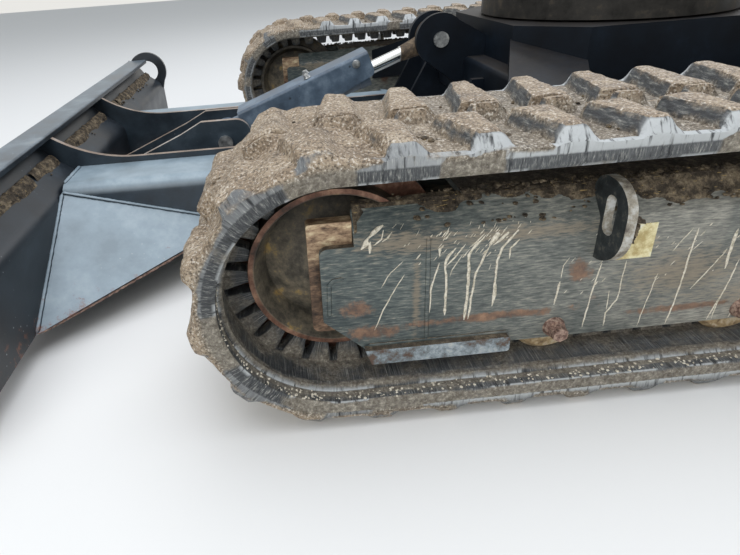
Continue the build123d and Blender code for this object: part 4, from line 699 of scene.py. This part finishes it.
rows = [(y, 0, 0, 0, True) for y in TREAD_ROWS]
rows += [(-y, depth, guide, mud, False) for y, depth, guide, mud in INNER_ROWS]
rows += [(y, depth, guide, mud, False) for y, depth, guide, mud in reversed(INNER_ROWS)]
rows.append(rows[0])
for side, way in (("left", 1), ("right", -1)):
    bm = bmesh.new()
    bmesh.ops.create_grid(bm, x_segments=STATIONS, y_segments=len(rows) - 1, size=0.5)
    uv = bm.loops.layers.uv.new("belt")
    layers = [bm.verts.layers.float.new(name) for name in ("mud", "smear", "tip")]
    for face in bm.faces:
        for loop in face.loops:
            loop[uv].uv = ((loop.vert.co.x + 0.5) * LOOP, (loop.vert.co.y + 0.5) * (len(rows) - 1) * 0.01)
    for vert in bm.verts:
        station = round((vert.co.x + 0.5) * STATIONS)
        y, depth, guide, mud, tread = rows[round((vert.co.y + 0.5) * (len(rows) - 1))]
        odd = station % 2
        smear = tip = 0.0
        s = LUG_FIRST - 0.038 + station * LOOP / STATIONS
        if tread:
            out = abs(y)
            row = 1 if y < 20 else 0
            lug_s, height, angle, step = lug_step(station, row, out)
            if y >= 42 or y <= -3:
                s = s if out == HALF_W else lug_s
            else:
                inner = lug_step(station, 1, LUG_STARTS[1])[0]
                outer = lug_step(station, 0, LUG_STARTS[0])[0]
                s = inner + (outer - inner) * (y + LUG_STARTS[1]) / sum(LUG_STARTS)
            start = LUG_STARTS[row]
            if out < start:
                height = 0.0
            height *= 1 - 0.85 * clamp((out - LUG_END) / (HALF_W - LUG_END))
            spot = belt_place(s, BELT_OUT, y * 0.001) * 14 + Vector((0, 0, 9.1 * way))
            rough = noise.noise(spot)
            front = clamp((belt_place(s, BELT_OUT, 0).x - FRONT_FROM) / FRONT_OVER)
            edge = clamp((HALF_W - out) / 12)
            lumps = (0.0016 + 0.003 * front) * noise.noise(spot * 3.1) + 0.0013 * noise.noise(spot * 7.7)
            lumps -= 0.004 * front * height
            filling = (0.003 + 0.007 * front) * (1 - height) * (0.8 + rough) * edge
            lip = 0.002 * (1 - height) * clamp((out - 141) / 1.5)
            end = 0.07 * height * (out in (LUG_END, *LUG_STARTS, 42.5))   # rounded ends
            r = BELT_OUT + LUG_H * (height - end) + filling + lip + lumps * edge
            r = min(r, BELT_OUT + LUG_H)
            r += (BELT_OUT + LUG_H) * height * (1 / math.cos(angle) - 1)
            flank = clamp((out - 136) / 3) * clamp(height * 3)
            s += 0.0014 * noise.noise(spot * 5.3) * edge
            if out > 138:
                y -= math.copysign(0.6 * odd * (1 - 0.5 * edge), y)
            else:
                y += 1.6 * noise.noise(spot * 4.9 + Vector((5, 0, 0)))
            full = clamp(height * 4 - 3)
            lead = (0.7, 1.0, 0.75)[step] if step < 3 else 0.6 * clamp(4 * height * (1 - height))
            lead *= (height > 0 or step == 0) and out > start
            bare = max(flank, clamp((out - 141) / 1.5))
            mud = 1 - 0.85 * bare - (0.86 - 0.42 * front) * lead
            sunk = clamp((-belt_place(s, 1, 0).z - 0.6) / 0.3)
            patch = noise.noise(Vector((s * 6, out * 0.02, 7 + way)))
            mud += 0.5 * bare * clamp(patch * 4 - 0.2 + 0.9 * front) + 0.45 * bare * max(sunk, 0.8 * front)
            smear = max(bare * (1 - max(0.75 * sunk, 0.75 * front)), 0.08 * lead)
            tip = clamp(full + (0.8 if out in (42.5, 3.5) else 0.0) + 0.25 + front)
        else:
            r = BELT_OUT - depth * 0.001
            along = (s - LUG_FIRST) % PITCH / PITCH
            if guide:
                r -= GUIDE_H * clamp(min(along, 1 - along) * PITCH / 0.006 - 1.0)
            if abs(y) > 149.5:
                y -= math.copysign(0.7 * odd, y)
            low = clamp((-belt_place(s, 1, 0).z - 0.8) / 0.15)
            blob = noise.noise(Vector((s * 9, 0, 3 + way)))
            front = clamp((belt_place(s, BELT_OUT, 0).x - FRONT_FROM) / FRONT_OVER)
            if abs(y) > 145.5:
                mud += clamp(blob * 6 - 1.6 + 1.7 * front)
                mud += 0.75 * low * (7 < depth < 24) * clamp(0.9 + 2 * blob)
            # pale along the side near the lugs, a line that is partly dried smear and partly a painted
            # highlight along that corner, and pale along its inner corner and beside the rollers' path
            pale = depth == 7 or (145.5 < abs(y) < 149 and blob > -0.1)
            pale = pale or (123 < abs(y) < 125 and blob < 0.15)
            smear = 0.9 - 0.6 * front * (depth == 7) if pale else 0.12 - 0.08 * front
        for layer, value in zip(layers, (mud, smear, tip)):
            vert[layer] = value
        vert.co = belt_place(s, r, y * 0.001 * way) + Vector((0, TRACK_Y * way, AXLE_Z))
    bmesh.ops.remove_doubles(bm, verts=bm.verts, dist=0.00002)
    belt = finished("rubber_track_" + side, bm, rubber, "lower_frame")
    belt.data.set_sharp_from_angle(angle=math.radians(42))
    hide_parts("track_" + side)
# clods that have stuck in the valleys of the upper run, and pale crumbs on the ledge inside the lower run
LEDGE_R = BELT_OUT - 0.0275
random.seed(21)
bm = bmesh.new()
for way in (1, -1):
    middle = Vector((0, TRACK_Y * way, AXLE_Z))
    spots = [middle + belt_place(random.uniform(-0.05, STRAIGHT + 0.5), BELT_OUT + 0.004,
                                 way * random.triangular(-0.13, 0.14, 0.06)) for k in range(330)]
    crumbs_on(bm, spots, 0.0018, 0.0055)
finished("clods_on_belts", bm, loose_clay, "lower_frame", smooth=False)
bm = bmesh.new()
for way in (1, -1):
    middle = Vector((0, TRACK_Y * way, AXLE_Z))
    spots = [middle + belt_place(random.uniform(STRAIGHT + WRAP_L, 2 * STRAIGHT + WRAP_L + 0.35), LEDGE_R,
                                 way * random.triangular(0.124, 0.148, 0.14)) for k in range(520)]
    crumbs_on(bm, spots, 0.0006, 0.0025)
finished("pale_crumbs_on_belts", bm, clay, "lower_frame", smooth=False)

# Car body: the octagonal box, its legs, cross member and brackets, welded from thick plate, in near-black
# paint that hasn't seen stones, drawn darker still as painted shade from the upper structure above it. Thin
# dust lies on it.
body_paint_shaded = material("near-black enamel in painted shade, with thin dust")
place = add(body_paint_shaded, "TexCoord").outputs["Object"]
# a haze 170 mm wide in near-black tones, partly the paint and partly painted shade, and dust in crumbs of 22
# mm on level faces
haze = add(body_paint_shaded, "TexNoise", {"Vector": place, "Scale": 6.0, "Detail": 9, "Roughness": 0.7})
tone = add(body_paint_shaded, "ValToRGB", {0: haze},
           stops=[(0.35, "#090d13"), (0.55, "#0f161e"), (0.72, "#1b2530")])
facing = add(body_paint_shaded, "NewGeometry")
up = add(body_paint_shaded, "SeparateXYZ", {0: facing.outputs["Normal"]})
level = add(body_paint_shaded, "MapRange", {0: up.outputs["Z"], 1: 0.88, 2: 1.0, 3: 0.0, 4: 0.3})
crumbs = add(body_paint_shaded, "TexNoise", {"Vector": place, "Scale": 45.0, "Detail": 9, "Roughness": 0.75})
dusty = add(body_paint_shaded, "Math", {0: level, 1: crumbs}, operation="MULTIPLY")
colour = add(body_paint_shaded, "Mix", {0: dusty, 6: tone, 7: "#5c5142"}, data_type="RGBA")
relief = add(body_paint_shaded, "Bump", {"Height": crumbs, "Strength": dusty, "Distance": 0.003})
shade = add(body_paint_shaded, "BsdfPrincipled",
            {"Base Color": colour, "Roughness": 0.5, "Specular IOR Level": 0.16, "Normal": relief})
add(body_paint_shaded, "OutputMaterial", {"Surface": shade})
paint_on(body_paint_shaded, "centre_box", "front_legs", "rear_legs", "belly_cover", "blade_pivot_ears",
         "cylinder_bracket")

# Slewing ring and swivel joint: bearing steel, turned on a lathe and oiled, so it has gone dark with dust
# in the oil.
race_steel = material("oiled turned bearing steel")
place = add(race_steel, "TexCoord").outputs["Object"]
# turning marks 1 mm apart, and a film of oily dust in patches 50 mm wide
lathe = add(race_steel, "Mapping", {"Vector": place, "Scale": (3, 3, 900)})
lines = add(race_steel, "TexNoise", {"Vector": lathe, "Scale": 1.0, "Detail": 4})
film = add(race_steel, "TexNoise", {"Vector": place, "Scale": 20.0, "Detail": 8, "Roughness": 0.7})
tone = add(race_steel, "ValToRGB", {0: film}, stops=[(0.35, "#1d1c1a"), (0.55, "#33312e"), (0.7, "#544d43")])
gloss = add(race_steel, "MapRange", {0: film, 1: 0.35, 2: 0.65, 3: 0.35, 4: 0.7})
relief = add(race_steel, "Bump", {"Height": lines, "Strength": 0.15, "Distance": 0.0006})
shade = add(race_steel, "BsdfPrincipled",
            {"Base Color": tone, "Roughness": gloss, "Metallic": 0.6, "Normal": relief})
add(race_steel, "OutputMaterial", {"Surface": shade})
paint_on(race_steel, "slew_inner_race", "slew_outer_race", "swivel_joint")

# Blade: mouldboard, box, end plates, arms, gussets and ears, welded plate in a slate blue-grey paint that
# is still glossy, with dust dried on it and its lying faces drawn paler as painted sky reflection, with straw
# and clay on its level faces and bare rusty edges.


def blade_enamel(name, upright_tones, lying_tones):
    """Glossy paint in two sets of tones, for upright and for lying faces, with pale flecks of dried splashes
    and rust low down; paler lying tones are painted sky reflection.
    """
    paint = material(name)
    place = add(paint, "TexCoord").outputs["Object"]
    # dust in a haze 110 mm wide, and lying faces in tones of their own, painted sky reflection where these are
    # paler
    haze = add(paint, "TexNoise", {"Vector": place, "Scale": 9.0, "Detail": 9, "Roughness": 0.65})
    facing = add(paint, "NewGeometry")
    up = add(paint, "SeparateXYZ", {0: facing.outputs["Normal"]})
    lying = add(paint, "MapRange", {0: up.outputs["Z"], 1: 0.15, 2: 0.75, 3: 0.0, 4: 1.0})
    upright = add(paint, "ValToRGB", {0: haze}, stops=upright_tones)
    painted_sheen_and_wear = add(paint, "ValToRGB", {0: haze}, stops=lying_tones)
    painted = add(paint, "Mix", {0: lying, 6: upright, 7: painted_sheen_and_wear}, data_type="RGBA")
    # a fleck in some of the cells, which are 14 mm wide
    flecks = add(paint, "TexVoronoi", {"Vector": place, "Scale": 70.0, "Randomness": 1.0})
    spots = add(paint, "MapRange", {0: flecks, 1: 0.13, 2: 0.06, 3: 0.0, 4: 0.5})
    thin = add(paint, "TexNoise", {"Vector": place, "Scale": 5.0, "Detail": 4})
    some = add(paint, "MapRange", {0: thin, 1: 0.5, 2: 0.64, 3: 0.0, 4: 1.0})
    flecked = add(paint, "Math", {0: spots, 1: some}, operation="MULTIPLY")
    with_flecks = add(paint, "Mix", {0: flecked, 6: painted, 7: "#b9bfc0"}, data_type="RGBA")
    # rust in patches 26 mm wide, with more of it near the ground
    scrub = add(paint, "TexNoise", {"Vector": place, "Scale": 38.0, "Detail": 9, "Roughness": 0.75})
    at = add(paint, "SeparateXYZ", {0: place})
    foot = add(paint, "MapRange", {0: at.outputs["Z"], 1: -0.42, 2: -0.50, 3: 0.0, 4: 0.2})
    rust_at = add(paint, "Math", {0: scrub, 1: foot}, operation="ADD")
    rusted = add(paint, "MapRange", {0: rust_at, 1: 0.69, 2: 0.79, 3: 0.0, 4: 0.8})
    colour = add(paint, "Mix", {0: rusted, 6: with_flecks, 7: "#7a4a33"}, data_type="RGBA")
    gloss = add(paint, "MapRange", {0: haze, 1: 0.35, 2: 0.65, 3: 0.30, 4: 0.46})
    relief = add(paint, "Bump", {"Height": scrub, "Strength": 0.12, "Distance": 0.0015})
    shade = add(paint, "BsdfPrincipled", {"Base Color": colour, "Roughness": gloss, "Normal": relief})
    add(paint, "OutputMaterial", {"Surface": shade})
    return paint


# paler tones on the lying faces of arms and gussets: painted sky reflection
blade_paint = blade_enamel("slate blue-grey enamel, dusted",
                           [(0.35, "#1f272e"), (0.55, "#2e3a44"), (0.72, "#46535e")],
                           [(0.32, "#74838b"), (0.5, "#8797a0"), (0.7, "#a3b0b6")])
paint_on(blade_paint, "blade_arms", "gussets")
# the bar is rubbed darker, with more clay on it; its paler lying tones are partly clay and partly painted sky
# reflection
bar_paint = blade_enamel("slate enamel, rubbed", [(0.35, "#171c21"), (0.55, "#252e36"), (0.72, "#3d464e")],
                         [(0.34, "#3f4850"), (0.5, "#5d6870"), (0.62, "#7b858b"), (0.72, "#8f8373")])
paint_on(bar_paint, "top_bar")
# thin upright plates: their upper edges are bare and rusty
edge_paint = blade_enamel("slate enamel with rusty plate edges",
                          [(0.35, "#1d252c"), (0.55, "#2b3740"), (0.72, "#424f59")],
                          [(0.34, "#53443a"), (0.5, "#8d7b6c"), (0.64, "#b4b0aa")])
paint_on(edge_paint, "arm_side_plates", "cylinder_ears")
# the mouldboard, box, end plates and cutting edge in a darker copy of the paint, without paler lying tones:
# painted shade on faces that turn away from the light
board_paint_shaded = blade_enamel("dark slate enamel in painted shade", [(0.35, "#15191e"), (0.55, "#1f252b"), (0.72, "#2f373e")],
                           [(0.35, "#1b2026"), (0.55, "#262d34"), (0.72, "#3a434b")])
paint_on(board_paint_shaded, "mouldboard", "blade_box", "end_plates", "cutting_edge")

# Weld seams of the blade: hand-laid beads along each gusset's upper and front edges and over each arm,
# painted over.
random.seed(5)
bm = bmesh.new()
# the ends of each seam, and the way it faces
for way in (1, -1):
    for path, lean in (
        (((1.024, 0.3565, -0.4250), (1.396, 0.3565, -0.3200)), (-0.231, 0.524, 0.820)),
        (((1.3965, 0.358, -0.3220), (1.3965, 0.632, -0.4965)), (-0.231, 0.524, 0.820)),
        (((1.3965, 0.221, -0.3070), (1.3965, 0.330, -0.3070)), (-0.7, 0.0, 0.7)),
    ):
        spots = [Vector((x, y * way, z)) for x, y, z in path]
        bead(bm, trail(spots, 0.004), 0.009, 0.0028, Vector((lean[0], lean[1] * way, lean[2])), rough=0.15)
finished("blade_welds", bm, blade_paint, "blade")

# Clay and straw that lie on the box's slope, under the bar, between the upright plates. They are crumbled,
# and thickest against the bar.
SLOPE_X, SLOPE_Z = 1.4150, -0.3125   # foot of the slope
SLOPE_RUN, SLOPE_RISE = 0.0495, 0.037
random.seed(17)
bm = bmesh.new()
# from plate to plate, across the machine
for start, end in ((-0.872, -0.362), (-0.350, -0.222), (-0.196, 0.196), (0.222, 0.350), (0.362, 0.872)):
    steps = round((end - start) / 0.006)
    for vert in bmesh.ops.create_grid(bm, x_segments=steps, y_segments=9, size=0.5)["verts"]:
        along, up_slope = vert.co.x + 0.5, vert.co.y + 0.5
        y = start + (end - start) * along
        spot = Vector((y * 11, up_slope * 1.5, 4.0))
        # up to 7 mm thick against the bar, thinning out down the slope
        thick = 0.0085 * clamp(1.3 + 1.0 * noise.noise(spot) - 5.5 * (1 - up_slope) ** 2) - 0.0010
        thick += 0.003 * noise.noise(spot * 5) * (thick > 0)
        x = SLOPE_X + SLOPE_RUN * up_slope - thick * 0.6
        vert.co = Vector((x, y, SLOPE_Z + SLOPE_RISE * up_slope + thick * 0.8))
    count = round((end - start) * 180)
    places = [(random.random() ** 0.25, random.uniform(start + 0.01, end - 0.01)) for k in range(count)]
    spots = [Vector((SLOPE_X + 0.049 * up_slope, y, SLOPE_Z + 0.0025 + SLOPE_RISE * up_slope))
             for up_slope, y in places]
    crumbs_on(bm, spots, 0.0015, 0.006)
finished("mud_under_bar", bm, loose_clay, "blade", smooth=False)

# Rust along the gussets' lower edges, where the ground wears the paint off first: a thin crust of uneven
# width that follows each edge.
bm = bmesh.new()
for way in (1, -1):
    edge = ((1.0235, 0.3565, -0.4328), (1.3600, 0.6010, -0.4986), (1.3960, 0.6325, -0.4988))
    spots = [Vector((x, y * way, z)) for x, y, z in edge]
    bead(bm, trail(spots, 0.005), 0.0050, 0.0016, Vector((-0.35, 0.55 * way, 0.5)).normalized(), rough=0.6)
finished("gusset_edge_rust", bm, bolt_steel, "blade")

# Barrel and guard: a drawn steel tube, and over it a guard folded from sheet and bolted on. Both are in a
# lighter blue-grey than the blade, with dark chips.
guard_paint = material("light steel-blue enamel on folded sheet")
place = add(guard_paint, "TexCoord").outputs["Object"]
# a haze 55 mm wide, and dark chips in some of the cells, which are 38 mm wide
haze = add(guard_paint, "TexNoise", {"Vector": place, "Scale": 18.0, "Detail": 8, "Roughness": 0.65})
tone = add(guard_paint, "ValToRGB", {0: haze},
           stops=[(0.33, "#3c4956"), (0.5, "#4f5f6f"), (0.66, "#6f7f8d")])
chips = add(guard_paint, "TexVoronoi", {"Vector": place, "Scale": 26.0, "Randomness": 1.0})
chipped = add(guard_paint, "MapRange", {0: chips, 1: 0.10, 2: 0.07, 3: 0.0, 4: 0.8})
colour = add(guard_paint, "Mix", {0: chipped, 6: tone, 7: "#1f252b"}, data_type="RGBA")
gloss = add(guard_paint, "MapRange", {0: haze, 1: 0.35, 2: 0.65, 3: 0.32, 4: 0.5})
relief = add(guard_paint, "Bump", {"Height": haze, "Strength": 0.15, "Distance": 0.002})
shade = add(guard_paint, "BsdfPrincipled", {"Base Color": colour, "Roughness": gloss, "Normal": relief})
add(guard_paint, "OutputMaterial", {"Surface": shade})
paint_on(guard_paint, "cylinder_guard", "cylinder_tube")

# Pins: hardened and ground steel bars, held in their ears, on which the arms and the cylinder turn. Their end
# faces are bright.
pin_steel = material("ground pin steel")
place = add(pin_steel, "TexCoord").outputs["Object"]
# stained in patches 14 mm wide
wear = add(pin_steel, "TexNoise", {"Vector": place, "Scale": 70.0, "Detail": 6, "Roughness": 0.7})
tone = add(pin_steel, "ValToRGB", {0: wear}, stops=[(0.33, "#77797a"), (0.5, "#9fa2a3"), (0.66, "#c3c5c4")])
gloss = add(pin_steel, "MapRange", {0: wear, 1: 0.35, 2: 0.65, 3: 0.28, 4: 0.5})
shade = add(pin_steel, "BsdfPrincipled", {"Base Color": tone, "Roughness": gloss, "Metallic": 0.85})
add(pin_steel, "OutputMaterial", {"Surface": shade})
paint_on(pin_steel, "rod_pin", "barrel_pin", "arm_pins")

# The guard's fixings: a hexagon bolt with a round washer in each of its sides near the rear, and two more on
# its sloping roof.
bm = bmesh.new()
# place, the way it stands out, washer, head and how far it stands out
for way in (1, -1):
    bolt(bm, Vector((0.680, 0.047 * way, -0.147)), Vector((0, way, 0)), 0.0115, 0.0085, 0.008)
    bolt(bm, Vector((0.813, 0.030 * way, -0.1755)), Vector((0.342, 0, 0.94)), 0.0100, 0.0080, 0.010)
finished("guard_bolts", bm, pin_steel, "cylinder_barrel", smooth=False)

# Cylinder rod: a ground and hard-chromed steel bar that slides in the barrel, with a forged eye at its end
# that has gone brown.
EYE_X = 0.5525                    # where the eye ends and the chrome begins
chrome = material("hard chrome and brown forged eye")
place = add(chrome, "TexCoord").outputs["Object"]
at = add(chrome, "SeparateXYZ", {0: place})
eye_at = add(chrome, "MapRange", {0: at.outputs["X"], 1: EYE_X + 0.001, 2: EYE_X - 0.001, 3: 0.0, 4: 1.0})
# the bar is bare and mirror-bright, and dust in patches 17 mm wide browns the forged eye
dust = add(chrome, "TexNoise", {"Vector": place, "Scale": 60.0, "Detail": 8, "Roughness": 0.7})
brown = add(chrome, "ValToRGB", {0: dust}, stops=[(0.35, "#2a221a"), (0.5, "#544636"), (0.66, "#84725a")])
colour = add(chrome, "Mix", {0: eye_at, 6: "#d3d7d8", 7: brown}, data_type="RGBA")
gloss = add(chrome, "MapRange", {0: eye_at, 3: 0.12, 4: 0.7})
metal = add(chrome, "MapRange", {0: eye_at, 3: 1.0, 4: 0.1})
relief = add(chrome, "Bump", {"Height": dust, "Strength": eye_at, "Distance": 0.002})
shade = add(chrome, "BsdfPrincipled",
            {"Base Color": colour, "Roughness": gloss, "Metallic": metal, "Normal": relief})
add(chrome, "OutputMaterial", {"Surface": shade})
paint_on(chrome, "rod")
bpy.context.view_layer.update()
